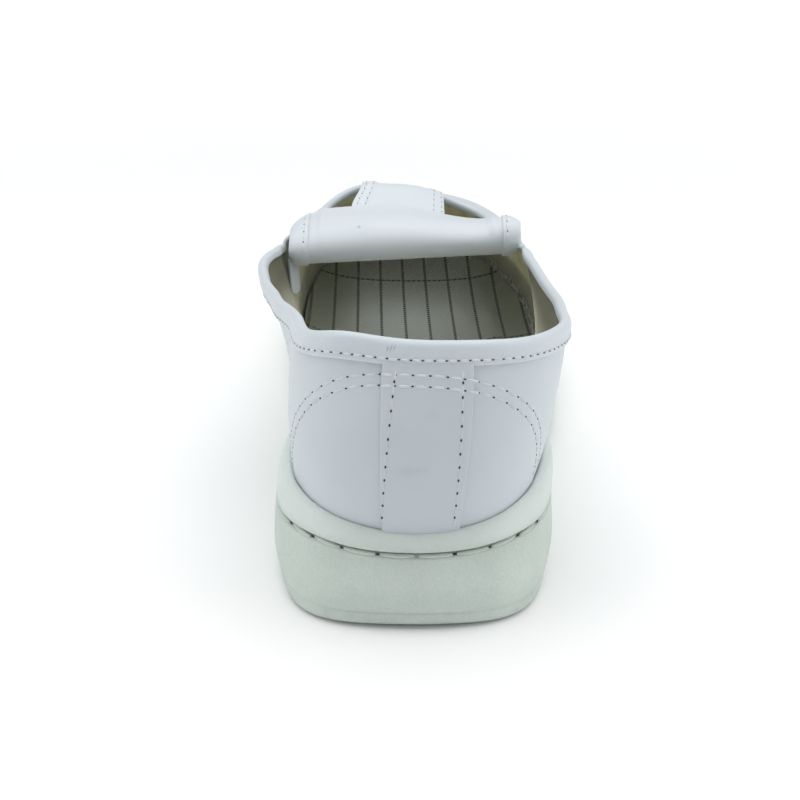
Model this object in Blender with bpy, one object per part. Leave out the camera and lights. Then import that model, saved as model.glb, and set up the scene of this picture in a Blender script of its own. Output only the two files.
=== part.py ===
"""Slip-on cleanroom shoe for the right foot, standing empty on its sole.

X runs to the outer side of the foot, Y from heel to toe and Z up. Every shape is worked out in
millimetres from the foot line, the closed edge on which the upper stands inside the cup of the
sole, and becomes metres when it is put in a mesh. Places round the shoe are counted in stations:
station 0 is the middle of the heel, 10 the tip of the toe, and the count goes round by the outer
side first.
"""
import math

import bmesh
import bpy
import numpy as np
from mathutils import Vector
from mathutils.bvhtree import BVHTree

MM = 0.001
CLEARANCE = 0.3

# Thickness of each sheet
UPPER_WALL = 1.8
STAY_THICK = 0.9
BINDING_THICK = 0.9
STRAP_THICK = 2.0
TAB_THICK = 0.9
INSOLE_THICK = 3.2

# The ribs of the upper, a row for each station. A rib rises from the foot line through a belly,
# pushed out from the straight, to the edge: the collar behind the throat and the shoulder in front
# of it. The crown goes on from the shoulder to the spine, rising by its fullness. The rim is the
# top of the sole's cup at the station.
RIB_COLUMNS = ("place", "foot_x", "foot_y", "edge_x", "edge_y", "edge_z", "belly", "rim_z", "fullness")
RIBS = (
    ("heel back", 0.5, 4.5, 2.5, 4.0, 74.5, 4.0, 25.8, 0.30),
    ("heel corner, outer", 19.5, 11.0, 26.0, 10.5, 73.4, 3.6, 28.4, 0.30),
    ("heel side, outer", 29.8, 34.0, 40.2, 38.0, 68.6, 1.6, 31.8, 0.25),
    ("quarter, outer", 31.0, 66.0, 40.2, 72.0, 65.3, 1.6, 31.0, 0.15),
    ("waist, outer", 35.5, 98.0, 38.0, 103.0, 63.4, 2.4, 29.5, 0.08),
    ("throat, outer", 41.0, 122.0, 36.3, 124.0, 62.6, 3.4, 28.2, 0.03),
    ("instep, outer", 45.0, 152.0, 38.0, 151.0, 55.5, 4.2, 27.0, 0.10),
    ("ball, outer", 45.3, 182.0, 40.5, 181.0, 47.5, 4.0, 27.0, 0.22),
    ("toe side, outer", 40.5, 214.0, 37.0, 212.0, 44.0, 3.5, 29.5, 0.27),
    ("toe corner, outer", 24.5, 245.0, 22.0, 241.5, 43.0, 3.0, 33.5, 0.30),
    ("toe tip", -4.0, 258.0, -4.0, 254.0, 42.5, 2.5, 35.5, 0.32),
    ("toe corner, inner", -28.0, 245.0, -26.0, 241.5, 43.0, 3.0, 33.5, 0.31),
    ("toe side, inner", -37.0, 216.0, -35.0, 214.0, 45.0, 3.5, 30.0, 0.28),
    ("ball, inner", -38.0, 184.0, -37.5, 183.0, 51.0, 3.5, 27.5, 0.22),
    ("instep, inner", -35.0, 152.0, -39.0, 151.0, 58.5, 2.5, 28.0, 0.14),
    ("throat, inner", -30.5, 122.0, -40.3, 124.0, 63.6, 1.0, 29.2, 0.12),
    ("waist, inner", -28.0, 98.0, -43.6, 102.0, 65.0, 0.0, 30.0, 0.10),
    ("quarter, inner", -27.5, 66.0, -39.0, 69.0, 66.2, -0.5, 31.0, 0.20),
    ("heel side, inner", -29.5, 34.0, -29.8, 34.0, 69.6, 3.0, 31.8, 0.30),
    ("heel corner, inner", -19.0, 11.0, -20.5, 9.5, 73.6, 4.2, 28.4, 0.30),
)
STATIONS = len(RIBS)
THROAT_STATION = 5
STEPS = 4

# Where the ribs from both sides meet on the spine, and the spine's height and sideways place
SPINE_MEETS = ((5, 124.0), (6, 149.0), (7, 174.0), (8, 198.0), (9, 216.0), (10, 226.0))
SPINE_HEIGHT = ((118, 77.0), (140, 77.0), (150, 75.8), (160, 73.4), (172, 69.8), (185, 66.0),
                (200, 61.8), (216, 57.6), (230, 54.2))
SPINE_X = -3.0
CROWN_REACH = 0.45
CROWN_REAR = 124.5
CUP_ROWS = 2
WALL_ROWS = 8
CROWN_ROWS = 7

# The throat is a rounded notch in the crown, in front of the instep bar
THROAT_MIDDLE = (-1.0, 126.0)
THROAT_HALF_WIDTH = 27.0
THROAT_LENGTH = 33.0
THROAT_SQUARENESS = 4.0
THROAT_POINTS = 64
THROAT_CUT_LOW = 50.0
THROAT_CUT_HIGH = 110.0

# The middle of the sole, and the heights of its stitch groove and of the cup's floor
MIDDLE_LINE = ((0, 0.5), (66, 1.8), (98, 3.8), (150, 4.8), (184, 3.7), (216, 1.5), (245, -2.0))
MIDDLE_ENDS = (18.0, 240.0)
GROOVE_HEIGHT = ((0, 20.3), (60, 19.8), (110, 18.6), (160, 17.0), (200, 18.0), (235, 21.5), (264, 26.0))
FLOOR_HEIGHT = ((0, 17.0), (60, 16.5), (100, 15.0), (150, 12.5), (200, 13.0), (235, 17.0), (262, 21.5))

# The underside: a flat heel and forefoot, with a bevelled heel end, an arch and a toe spring
HEEL_BEVEL_END = 8.0
HEEL_BEVEL_RISE = 0.7
ARCH = (80.0, 142.0)
ARCH_RISE = 3.5
SPRING_START = 198.0
SPRING_END = 265.0
SPRING_RISE = 13.0

# The side of the sole: each place, its distance out from the foot line and its height above the
# underside
SIDE = (
    ("flat edge", 3.4, 0.0),
    ("rounded corner", 5.5, 1.3),
    ("top of the tread", 6.4, 4.2),
    ("foot of the side", 6.0, 4.9),
    ("fullest place", 7.2, 9.5),
)
# Where the side stands further out than that, at the two corners of the heel: station, half width
# in stations, and distance
HEEL_CORNERS = ((1.1, 0.5, 2.8), (18.9, 0.5, 3.2))
# The groove and the rim: heights above the groove and distances out from the upper's wall
SIDE_TOP = -1.8
SIDE_TOP_OUT = 4.2
GROOVE_OUT = 2.5
LIP = 1.5
LIP_OUT = 3.6
RIM_OUT = 3.3
RIM_SHOULDER_OUT = 2.0
RIM_SHOULDER_DROP = 0.8
RIM_TOP_OUT = 0.9
FLAT_RING = 0.7

# Bars cut across the tread
LUG_GROOVE_WIDTH = 3.0
LUG_GROOVE_DEPTH = 2.0
LUG_MARGIN = 9.0
LUG_PITCH = 12.0
HEEL_LUGS = (22.0, 5)
FOREFOOT_LUGS = (152.0, 8)

# The insole stands clear of the upper's inner face
INSOLE_INSET = 2.5
INSOLE_BEVEL = 0.8

# The bound collar edge runs between the two ends of the instep bar
BINDING_BAND = 5.4
BINDING_FOLD = 0.5
BINDING_END = 4.75

# The strip up the back of the heel, in stations from the middle of the heel
STAY_MIDDLE = 0.04
STAY_HALF = 0.415
STAY_COLUMNS = 6
STAY_ROWS = 8

# The instep bar with its centre strip. The strip runs to the front of the throat, flush with the
# crown. The bar is narrow at its ends and hangs below the crown between them, and its rear edge
# is rolled down, nearly straight across the mouth.
STRAP_ENDS = (-36.0, 32.0)
STRIP_SIDES = (-16.0, 11.0)
STRIP_GAP = 0.5
BAR_FRONT = 139.5
BAR_FRONT_AT_ENDS = 122.9
BAR_WIDENS = (9.0, 15.0)
BAR_BEND = 132.0
ROLL_BEHIND_FRONT = 2.0
BAR_REAR_INNER = (114.0, 59.5)
BAR_REAR_OUTER = (118.0, 61.5)
STRAP_SAG = 4.4
SAG_FROM_ENDS = (2.0, 16.0)
SAG_FADES = (139.5, 154.0)
WING_COLUMNS = 9
STRIP_COLUMNS = 8
ROLL_ROWS = 8
BAND_ROWS = 3
STRIP_ROWS = 6
TAB_WIDTH = 6.0
TAB_COLUMNS = 3
TAB_SLOPE_STEP = 0.5

# Colour and roughness of each piece
FINISHES = {
    "outsole": ((0.76, 0.80, 0.74), 0.70),
    "upper": ((0.80, 0.83, 0.86), 0.45),
    "insole": ((0.55, 0.55, 0.52), 0.90),
    "collar_binding": ((0.82, 0.85, 0.87), 0.50),
    "back_stay": ((0.80, 0.83, 0.87), 0.45),
    "instep_strap": ((0.84, 0.86, 0.88), 0.42),
    "strap_tab_inner": ((0.84, 0.86, 0.88), 0.42),
    "strap_tab_outer": ((0.84, 0.86, 0.88), 0.42),
}
CUTTER_FINISH = ((0.50, 0.50, 0.50), 0.50)

HIGH_ABOVE = 1000.0
SHARP_ANGLE = math.radians(38)
WELD = 0.01 * MM
NUDGE = 0.02
HALVINGS = 40
LAP = 4


class Spline:
    """A natural cubic curve through values at rising places."""

    def __init__(self, places, values):
        self.places = np.array(places, float)
        self.values = np.array(values, float)
        step = np.diff(self.places)
        slope = np.diff(self.values) / step
        matrix = np.eye(len(places))
        bend = np.zeros(len(places))
        for i in range(1, len(places) - 1):
            matrix[i, i - 1:i + 2] = step[i - 1], 2 * (step[i - 1] + step[i]), step[i]
            bend[i] = 6 * (slope[i] - slope[i - 1])
        self.bend = np.linalg.solve(matrix, bend)

    def __call__(self, place):
        last = len(self.places) - 2
        i = int(np.clip(np.searchsorted(self.places, place) - 1, 0, last))
        width = self.places[i + 1] - self.places[i]
        right = (place - self.places[i]) / width
        left = 1 - right
        straight = left * self.values[i] + right * self.values[i + 1]
        curve = (left ** 3 - left) * self.bend[i] + (right ** 3 - right) * self.bend[i + 1]
        return straight + curve * width ** 2 / 6


def round_the_shoe(column):
    """A curve through one column of the ribs that closes on itself."""
    index = RIB_COLUMNS.index(column)
    places = range(-LAP, STATIONS + LAP + 1)
    return Spline(places, [RIBS[place % STATIONS][index] for place in places])


RIB = {column: round_the_shoe(column) for column in RIB_COLUMNS[1:]}
spine_meets = Spline(*zip(*SPINE_MEETS))
spine_height = Spline(*zip(*SPINE_HEIGHT))
middle_x = Spline(*zip(*MIDDLE_LINE))
groove_height = Spline(*zip(*GROOVE_HEIGHT))
floor_height = Spline(*zip(*FLOOR_HEIGHT))


def wrapped(station):
    """The same station counted from 0."""
    return station % STATIONS


def unit(vector):
    return vector / np.linalg.norm(vector)


def smooth_step(value, low, high):
    """A soft change from 0 at low to 1 at high."""
    share = min(max((value - low) / (high - low), 0.0), 1.0)
    return share * share * (3 - 2 * share)


def foot(station):
    """A point of the foot line."""
    s = wrapped(station)
    x, y = RIB["foot_x"](s), RIB["foot_y"](s)
    return np.array((x, y, floor_height(y) + CLEARANCE))


def edge(station):
    """A point of the collar or of the shoulder."""
    s = wrapped(station)
    return np.array((RIB["edge_x"](s), RIB["edge_y"](s), RIB["edge_z"](s)))


def outward(station):
    """The level direction that leaves the shoe at a station."""
    along = foot(station + NUDGE) - foot(station - NUDGE)
    return unit(np.array((along[1], -along[0], 0.0)))


def knee(station):
    """The pull that gives a rib its belly."""
    belly = RIB["belly"](wrapped(station))
    return (foot(station) + edge(station)) / 2 + 2 * belly * outward(station)


def wall(station, rise):
    """A point of the upper's outer wall, with rise from 0 at the foot line to 1 at the edge."""
    rest = 1 - rise
    return rest ** 2 * foot(station) + 2 * rest * rise * knee(station) + rise ** 2 * edge(station)


def crown(station, reach):
    """A point over the foot, with reach from 0 at the shoulder to 1 on the spine."""
    s = wrapped(station)
    shoulder = edge(s)
    meets = spine_meets(min(s, STATIONS - s))
    spine = np.array((SPINE_X, meets, spine_height(meets)))
    span = np.linalg.norm(spine - shoulder)
    level = unit((shoulder - spine) * (1, 1, 0))
    slope = (spine_height(meets + NUDGE) - spine_height(meets - NUDGE)) / (2 * NUDGE)
    level[2] = level[1] * slope
    start = shoulder + unit(shoulder - knee(s)) * RIB["fullness"](s) * span
    end = spine + level * CROWN_REACH * span
    rest = 1 - reach
    return (rest ** 3 * shoulder + 3 * rest ** 2 * reach * start
            + 3 * rest * reach ** 2 * end + reach ** 3 * spine)


def rise_at(station, height):
    """How far up its rib the wall reaches a height."""
    low, high = 0.0, 1.0
    for _ in range(HALVINGS):
        half = (low + high) / 2
        if wall(station, half)[2] < height:
            low = half
        else:
            high = half
    return low


def rim_rise(station):
    return rise_at(station, RIB["rim_z"](wrapped(station)))


def wall_frame(station, rise):
    """A point of the wall with its outward normal and its upward tangent."""
    up = unit(wall(station, rise + NUDGE) - wall(station, rise - NUDGE))
    along = wall(station + NUDGE, rise) - wall(station - NUDGE, rise)
    return wall(station, rise), unit(np.cross(along, up)), up


def underside(y):
    """Height of the sole's underside along the shoe."""
    if y < HEEL_BEVEL_END:
        return HEEL_BEVEL_RISE * ((HEEL_BEVEL_END - y) / HEEL_BEVEL_END) ** 2
    if ARCH[0] < y < ARCH[1]:
        return ARCH_RISE * math.sin(math.pi * (y - ARCH[0]) / (ARCH[1] - ARCH[0])) ** 2
    if y > SPRING_START:
        return SPRING_RISE * ((y - SPRING_START) / (SPRING_END - SPRING_START)) ** 2
    return 0.0


def middle(station, height):
    """A point on the middle line across from a station, at a height that depends on y."""
    s = wrapped(station)
    y = (foot(s)[1] + foot(STATIONS - s)[1]) / 2
    y = min(max(y, MIDDLE_ENDS[0]), MIDDLE_ENDS[1])
    return np.array((middle_x(y), y, height(y)))


def sheet(columns, rows, place, keep=None):
    """A grid of cells whose corners go to place(column, row), in metres."""
    bm = bmesh.new()
    bmesh.ops.create_grid(bm, x_segments=columns, y_segments=rows, size=0.5)
    if keep:
        spare = []
        for face in bm.faces:
            centre = face.calc_center_median()
            if not keep(math.floor((centre.x + 0.5) * columns), math.floor((centre.y + 0.5) * rows)):
                spare.append(face)
        bmesh.ops.delete(bm, geom=spare, context="FACES")
    for vert in bm.verts:
        column = round((vert.co.x + 0.5) * columns)
        row = round((vert.co.y + 0.5) * rows)
        vert.co = Vector(place(column, row)) * MM
    bmesh.ops.remove_doubles(bm, verts=bm.verts, dist=WELD)
    return bm


def close_ends(bm):
    """Fill the open ends of a tube."""
    edges = [e for e in bm.edges if e.is_boundary]
    bmesh.ops.holes_fill(bm, edges=edges, sides=0)
    bmesh.ops.recalc_face_normals(bm, faces=bm.faces)


def finish(name):
    """A material of one colour for a piece."""
    colour, roughness = FINISHES.get(name, CUTTER_FINISH)
    made = bpy.data.materials.new(name)
    made.use_nodes = True
    shader = made.node_tree.nodes["Principled BSDF"]
    shader.inputs["Base Color"].default_value = (*colour, 1.0)
    shader.inputs["Roughness"].default_value = roughness
    shader.inputs["Metallic"].default_value = 0.0
    return made


def piece(name, bm, shoe):
    """A named object of the shoe from a finished bmesh."""
    mesh = bpy.data.meshes.new(name)
    bm.to_mesh(mesh)
    bm.free()
    mesh.shade_smooth()
    mesh.set_sharp_from_angle(angle=SHARP_ANGLE)
    mesh.materials.append(finish(name))
    made = bpy.data.objects.new(name, mesh)
    made.parent = shoe
    bpy.context.scene.collection.objects.link(made)
    return made


def thicken(made, thickness, side):
    """Give a sheet its thickness, inwards with side -1 and outwards with side 1."""
    solid = made.modifiers.new("thickness", "SOLIDIFY")
    solid.thickness = thickness * MM
    solid.offset = side
    solid.use_even_offset = True
    solid.use_quality_normals = True


def cut(made, cutter):
    """Take a hidden cutter out of a piece."""
    cutter.hide_render = True
    cutter.display_type = "WIRE"
    boolean = made.modifiers.new("cut", "BOOLEAN")
    boolean.operation = "DIFFERENCE"
    boolean.solver = "EXACT"
    boolean.object = cutter


def upper_sheet():
    """The outer face of the upper: walls all round, and a crown in front of the throat."""
    def place(column, row):
        station = column / STEPS
        at_rim = rim_rise(station)
        if row <= CUP_ROWS:
            return wall(station, at_rim * row / CUP_ROWS)
        if row <= WALL_ROWS:
            return wall(station, at_rim + (1 - at_rim) * (row - CUP_ROWS) / (WALL_ROWS - CUP_ROWS))
        return crown(station, (row - WALL_ROWS) / CROWN_ROWS)

    def keep(column, row):
        covered = THROAT_STATION * STEPS <= column < (STATIONS - THROAT_STATION) * STEPS
        return row < WALL_ROWS or covered

    return sheet(STATIONS * STEPS, WALL_ROWS + CROWN_ROWS, place, keep)


def throat_front(x):
    """Where the throat notch ends in front, at a place across the shoe."""
    share = abs(x - THROAT_MIDDLE[0]) / THROAT_HALF_WIDTH
    return THROAT_MIDDLE[1] + THROAT_LENGTH * (1 - share ** THROAT_SQUARENESS) ** (1 / THROAT_SQUARENESS)


def throat_cutter(shoe):
    """An upright prism with the outline of the throat notch."""
    bm = bmesh.new()
    bmesh.ops.create_circle(bm, cap_ends=True, segments=THROAT_POINTS, radius=1.0)
    power = 2 / THROAT_SQUARENESS
    for vert in bm.verts:
        x = math.copysign(abs(vert.co.x) ** power, vert.co.x) * THROAT_HALF_WIDTH
        y = math.copysign(abs(vert.co.y) ** power, vert.co.y) * THROAT_LENGTH
        vert.co = Vector((THROAT_MIDDLE[0] + x, THROAT_MIDDLE[1] + y, THROAT_CUT_LOW)) * MM
    grown = bmesh.ops.extrude_face_region(bm, geom=bm.faces[:])
    raised = [item for item in grown["geom"] if isinstance(item, bmesh.types.BMVert)]
    height = (THROAT_CUT_HIGH - THROAT_CUT_LOW) * MM
    bmesh.ops.translate(bm, verts=raised, vec=Vector((0.0, 0.0, height)))
    bmesh.ops.recalc_face_normals(bm, faces=bm.faces)
    return piece("throat_cutter", bm, shoe)


def make_upper(shoe):
    """One hollow wall, open at the collar, at the throat and underneath."""
    bm = upper_sheet()
    over = BVHTree.FromBMesh(bm)
    upper = piece("upper", bm, shoe)
    thicken(upper, UPPER_WALL, -1)
    cut(upper, throat_cutter(shoe))
    return over


def corner_fullness(station):
    """How much further out the sole's side stands at the corners of the heel."""
    total = 0.0
    for corner, half_width, further in HEEL_CORNERS:
        apart = wrapped(station - corner + STATIONS / 2) - STATIONS / 2
        total += further * math.exp(-(apart / half_width) ** 2)
    return total


def sole_profile(station):
    """The section of the sole from the middle of its underside round to the middle of its cup."""
    s = wrapped(station)
    line, away = foot(s), outward(s)

    def beside(out, height):
        return np.array((*(line + out * away)[:2], height))

    def beside_wall(height, out):
        point = wall(s, rise_at(s, height)) + out * away
        point[2] = height
        return point

    rim = RIB["rim_z"](s)
    groove = groove_height(line[1])
    fuller = corner_fullness(s)
    side = []
    for _, out, up in SIDE:
        point = beside(out + fuller, 0.0)
        side.append(beside(out + fuller, underside(point[1]) + up))
    centre = middle(s, underside)
    ring = centre + FLAT_RING * (side[0] - centre)
    ring[2] = underside(ring[1])
    lip = beside_wall(groove + LIP, LIP_OUT)
    rim_middle = beside_wall((groove + LIP + rim) / 2, RIM_OUT)
    cup = [wall(s, rim_rise(s) * row / CUP_ROWS) + CLEARANCE * away for row in range(CUP_ROWS, -1, -1)]
    cup[-1][2] = floor_height(line[1])
    return [
        centre, ring, *side,
        beside_wall(groove + SIDE_TOP, SIDE_TOP_OUT),
        beside_wall(groove, GROOVE_OUT),
        lip, rim_middle,
        beside_wall(rim - RIM_SHOULDER_DROP, RIM_SHOULDER_OUT),
        beside_wall(rim, RIM_TOP_OUT),
        *cup,
        middle(s, floor_height),
    ]


def lug_cutter(shoe):
    """Bars across the heel and the forefoot that leave the lugs standing."""
    bm = bmesh.new()
    for first, count in (HEEL_LUGS, FOREFOOT_LUGS):
        for number in range(count):
            y = first + LUG_PITCH * number
            across = [foot(s / STEPS)[0] for s in range(STATIONS * STEPS)
                      if abs(foot(s / STEPS)[1] - y) < LUG_PITCH]
            low, high = min(across) + LUG_MARGIN, max(across) - LUG_MARGIN
            made = bmesh.ops.create_cube(bm, size=1.0)
            size = (high - low, LUG_GROOVE_WIDTH, 2 * LUG_GROOVE_DEPTH)
            bmesh.ops.scale(bm, verts=made["verts"], vec=Vector(size) * MM)
            place = ((low + high) / 2, y, underside(y))
            bmesh.ops.translate(bm, verts=made["verts"], vec=Vector(place) * MM)
    return piece("lug_cutter", bm, shoe)


def make_outsole(shoe):
    """The moulded sole: tread, full side, stitch groove, rim and cup in one body."""
    columns = STATIONS * STEPS
    profiles = [sole_profile(column / STEPS) for column in range(columns)]
    bm = sheet(columns, len(profiles[0]) - 1, lambda column, row: profiles[column % columns][row])
    outsole = piece("outsole", bm, shoe)
    cut(outsole, lug_cutter(shoe))


def make_insole(shoe):
    """A flat bed that fills the cup inside the upper."""
    def profile(station):
        line, away = foot(station), outward(station)
        low = line[2]
        high = low + INSOLE_THICK

        def inside(inset, height):
            return np.array((*(line - inset * away)[:2], height))

        return [
            middle(station, lambda y: floor_height(y) + CLEARANCE),
            inside(INSOLE_INSET, low),
            inside(INSOLE_INSET, high - INSOLE_BEVEL),
            inside(INSOLE_INSET + INSOLE_BEVEL, high),
            middle(station, lambda y: floor_height(y) + CLEARANCE + INSOLE_THICK),
        ]

    columns = STATIONS * STEPS
    profiles = [profile(column / STEPS) for column in range(columns)]
    bm = sheet(columns, len(profiles[0]) - 1, lambda column, row: profiles[column % columns][row])
    piece("insole", bm, shoe)


def make_collar_binding(shoe):
    """A tape folded over the collar edge, from one end of the instep bar to the other."""
    inner, outer = CLEARANCE, CLEARANCE + BINDING_THICK
    under_tape = -UPPER_WALL - inner
    over_tape = -UPPER_WALL - outer
    # Each corner of the tape's section: how far below the edge, and how far out from the wall
    section = (
        (BINDING_BAND, inner), (BINDING_BAND, outer), (BINDING_FOLD, outer), (-outer, inner),
        (-outer, under_tape), (BINDING_FOLD, over_tape), (BINDING_BAND, over_tape),
        (BINDING_BAND, under_tape), (-inner, under_tape), (-inner, inner),
    )
    columns = round(2 * BINDING_END * STEPS)

    def place(column, row):
        station = column / STEPS - BINDING_END
        below, out = section[row % len(section)]
        height = np.linalg.norm(edge(station) - foot(station))
        point, normal, up = wall_frame(station, 1 - max(below, 0.0) / height)
        return point + out * normal + max(-below, 0.0) * up

    bm = sheet(columns, len(section), place)
    close_ends(bm)
    piece("collar_binding", bm, shoe)


def make_back_stay(shoe):
    """The strip sewn up the back of the heel, between the rim and the bound edge."""
    def place(column, row):
        station = STAY_MIDDLE + STAY_HALF * (2 * column / STAY_COLUMNS - 1)
        height = np.linalg.norm(edge(station) - foot(station))
        low = rise_at(station, RIB["rim_z"](wrapped(station)) + 2 * CLEARANCE)
        high = 1 - (BINDING_BAND + 2 * CLEARANCE) / height
        point, normal, _ = wall_frame(station, low + (high - low) * row / STAY_ROWS)
        return point + CLEARANCE * normal

    made = piece("back_stay", sheet(STAY_COLUMNS, STAY_ROWS, place), shoe)
    thicken(made, STAY_THICK, 1)


def strap_point(over, x, row):
    """A point on top of the strap: the roll first, then the flat of the bar, then the strip."""
    from_end = min(x - STRAP_ENDS[0], STRAP_ENDS[1] - x)

    def lowered_crown(y):
        above = Vector((x, max(y, CROWN_REAR), HIGH_ABOVE)) * MM
        hit, _, _, _ = over.ray_cast(above, Vector((0, 0, -1)))
        sag = STRAP_SAG * smooth_step(from_end, *SAG_FROM_ENDS) * (1 - smooth_step(y, *SAG_FADES))
        return np.array((x, y, hit.z / MM - sag))

    widening = smooth_step(from_end, *BAR_WIDENS)
    front = BAR_FRONT_AT_ENDS + (BAR_FRONT - BAR_FRONT_AT_ENDS) * widening
    bend = min(BAR_BEND, front - ROLL_BEHIND_FRONT)
    if row > ROLL_ROWS + BAND_ROWS:
        share = (row - ROLL_ROWS - BAND_ROWS) / STRIP_ROWS
        return lowered_crown(front + (throat_front(x) - STRIP_GAP - front) * share)
    if row >= ROLL_ROWS:
        share = (row - ROLL_ROWS) / BAND_ROWS
        return lowered_crown(bend + (front - bend) * share)
    top = lowered_crown(bend)
    share = (x - STRAP_ENDS[0]) / (STRAP_ENDS[1] - STRAP_ENDS[0])
    rear_y, rear_z = np.array(BAR_REAR_INNER) * (1 - share) + np.array(BAR_REAR_OUTER) * share
    turn = math.radians(90) * row / ROLL_ROWS
    return np.array((
        x,
        rear_y + (top[1] - rear_y) * (1 - math.cos(turn)),
        rear_z + (top[2] - rear_z) * math.sin(turn),
    ))


def make_instep_strap(shoe, over):
    """The bar across the instep with its rolled rear edge, and the strip in front of it."""
    def x_at(column):
        if column <= WING_COLUMNS:
            return STRAP_ENDS[0] + (STRIP_SIDES[0] - STRAP_ENDS[0]) * column / WING_COLUMNS
        column -= WING_COLUMNS
        if column <= STRIP_COLUMNS:
            return STRIP_SIDES[0] + (STRIP_SIDES[1] - STRIP_SIDES[0]) * column / STRIP_COLUMNS
        column -= STRIP_COLUMNS
        return STRIP_SIDES[1] + (STRAP_ENDS[1] - STRIP_SIDES[1]) * column / WING_COLUMNS

    def keep(column, row):
        return row < ROLL_ROWS + BAND_ROWS or WING_COLUMNS <= column < WING_COLUMNS + STRIP_COLUMNS

    bm = sheet(
        2 * WING_COLUMNS + STRIP_COLUMNS,
        ROLL_ROWS + BAND_ROWS + STRIP_ROWS,
        lambda column, row: strap_point(over, x_at(column), row),
        keep,
    )
    made = piece("instep_strap", bm, shoe)
    thicken(made, STRAP_THICK, -1)


def make_strap_tab(shoe, over, name, first_x):
    """A short tape over one end of the instep bar."""
    def place(column, row):
        x = first_x + TAB_WIDTH * column / TAB_COLUMNS
        here = strap_point(over, x, row)
        ahead = strap_point(over, x, min(row + 1, ROLL_ROWS + BAND_ROWS))
        behind = strap_point(over, x, max(row - 1, 0))
        right = strap_point(over, x + TAB_SLOPE_STEP, row)
        left = strap_point(over, x - TAB_SLOPE_STEP, row)
        normal = unit(np.cross(right - left, ahead - behind))
        return here + CLEARANCE * normal

    made = piece(name, sheet(TAB_COLUMNS, ROLL_ROWS + BAND_ROWS, place), shoe)
    thicken(made, TAB_THICK, 1)


def stand_on_origin(shoe):
    """Move the shoe so that the middle of its box stands on the origin."""
    bpy.context.view_layer.update()
    graph = bpy.context.evaluated_depsgraph_get()
    corners = []
    for child in shoe.children:
        if not child.hide_render:
            box = child.evaluated_get(graph).bound_box
            corners += [child.matrix_world @ Vector(corner) for corner in box]
    low = Vector([min(corner[i] for corner in corners) for i in range(3)])
    high = Vector([max(corner[i] for corner in corners) for i in range(3)])
    shoe.location = Vector((-(low.x + high.x) / 2, -(low.y + high.y) / 2, -low.z))


def main():
    for old in list(bpy.data.objects):
        bpy.data.objects.remove(old, do_unlink=True)
    shoe = bpy.data.objects.new("shoe", None)
    bpy.context.scene.collection.objects.link(shoe)
    make_outsole(shoe)
    over = make_upper(shoe)
    make_insole(shoe)
    make_collar_binding(shoe)
    make_back_stay(shoe)
    make_instep_strap(shoe, over)
    make_strap_tab(shoe, over, "strap_tab_inner", STRAP_ENDS[0] + CLEARANCE)
    make_strap_tab(shoe, over, "strap_tab_outer", STRAP_ENDS[1] - CLEARANCE - TAB_WIDTH)
    stand_on_origin(shoe)


main()
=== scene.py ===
# %% [markdown]
# # A slip-on cleanroom shoe
#
# The imported CAD model is a fixed frame: plain solids with the right sizes in the right places.
# This lesson dresses it piece by piece, with finer meshes that stand for the plain solids, sewing,
# cloth, and finishes made of shader nodes. We load the frame first. The dressed shoe may not grow
# out of it.

# %% Load the frame
import math

import bmesh
import bpy
import numpy as np
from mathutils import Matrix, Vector
from mathutils.bvhtree import BVHTree

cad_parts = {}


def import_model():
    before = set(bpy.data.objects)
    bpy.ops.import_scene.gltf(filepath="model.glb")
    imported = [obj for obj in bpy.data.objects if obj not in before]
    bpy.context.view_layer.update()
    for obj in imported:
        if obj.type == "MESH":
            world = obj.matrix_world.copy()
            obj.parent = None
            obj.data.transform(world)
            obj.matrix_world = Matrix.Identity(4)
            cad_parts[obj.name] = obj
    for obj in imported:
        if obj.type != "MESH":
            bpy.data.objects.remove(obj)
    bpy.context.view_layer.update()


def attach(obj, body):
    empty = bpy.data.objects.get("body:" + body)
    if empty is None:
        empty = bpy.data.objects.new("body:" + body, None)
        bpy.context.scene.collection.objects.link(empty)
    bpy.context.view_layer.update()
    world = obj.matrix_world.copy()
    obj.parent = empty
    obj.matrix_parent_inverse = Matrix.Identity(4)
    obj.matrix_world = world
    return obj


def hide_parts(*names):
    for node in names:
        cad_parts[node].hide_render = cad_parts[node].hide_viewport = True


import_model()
scene = bpy.context.scene

# %% [markdown]
# ## The camera
#
# Shoemakers measure from the heel, so every size below is in millimetres with Y running from the
# back of the heel to the toe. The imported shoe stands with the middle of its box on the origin
# instead, and one shift takes us from the one to the other. The camera looks at the heel from a
# little above, close enough that the toe is much smaller than the heel.

# %% Camera and units
MM = 0.001
HEEL_SHIFT = np.array((-3.724, -131.25, 0.0))
CAMERA_PLACE = (-3.4, -309.0, 189.0)
CAMERA_DOWN = 22.4
LENS = 64.035
SENSOR = 36.0


def world(points):
    """Metres in the shared frame from millimetres counted from the heel."""
    return (np.asarray(points, float) + HEEL_SHIFT) * MM


camera = bpy.data.objects.new("camera", bpy.data.cameras.new("camera"))
camera.data.lens = LENS
camera.data.sensor_width = SENSOR
camera.location = world(CAMERA_PLACE)
camera.rotation_euler = (math.radians(90 - CAMERA_DOWN), 0.0, 0.0)
scene.collection.objects.link(camera)
scene.camera = camera
print("camera at, mm:", (1000 * np.array(camera.location)).round(1))

# %% [markdown]
# ## Light
#
# White things are photographed in a white tent: broad soft boxes above and at both sides, and none
# behind the camera. Faces that look up are then brightest, and the heel, which faces the camera,
# is a touch darker. White leather lets some light through; one very weak lamp under the vamp stands
# for that glow. The plain colour transform keeps white paper white.

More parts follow.
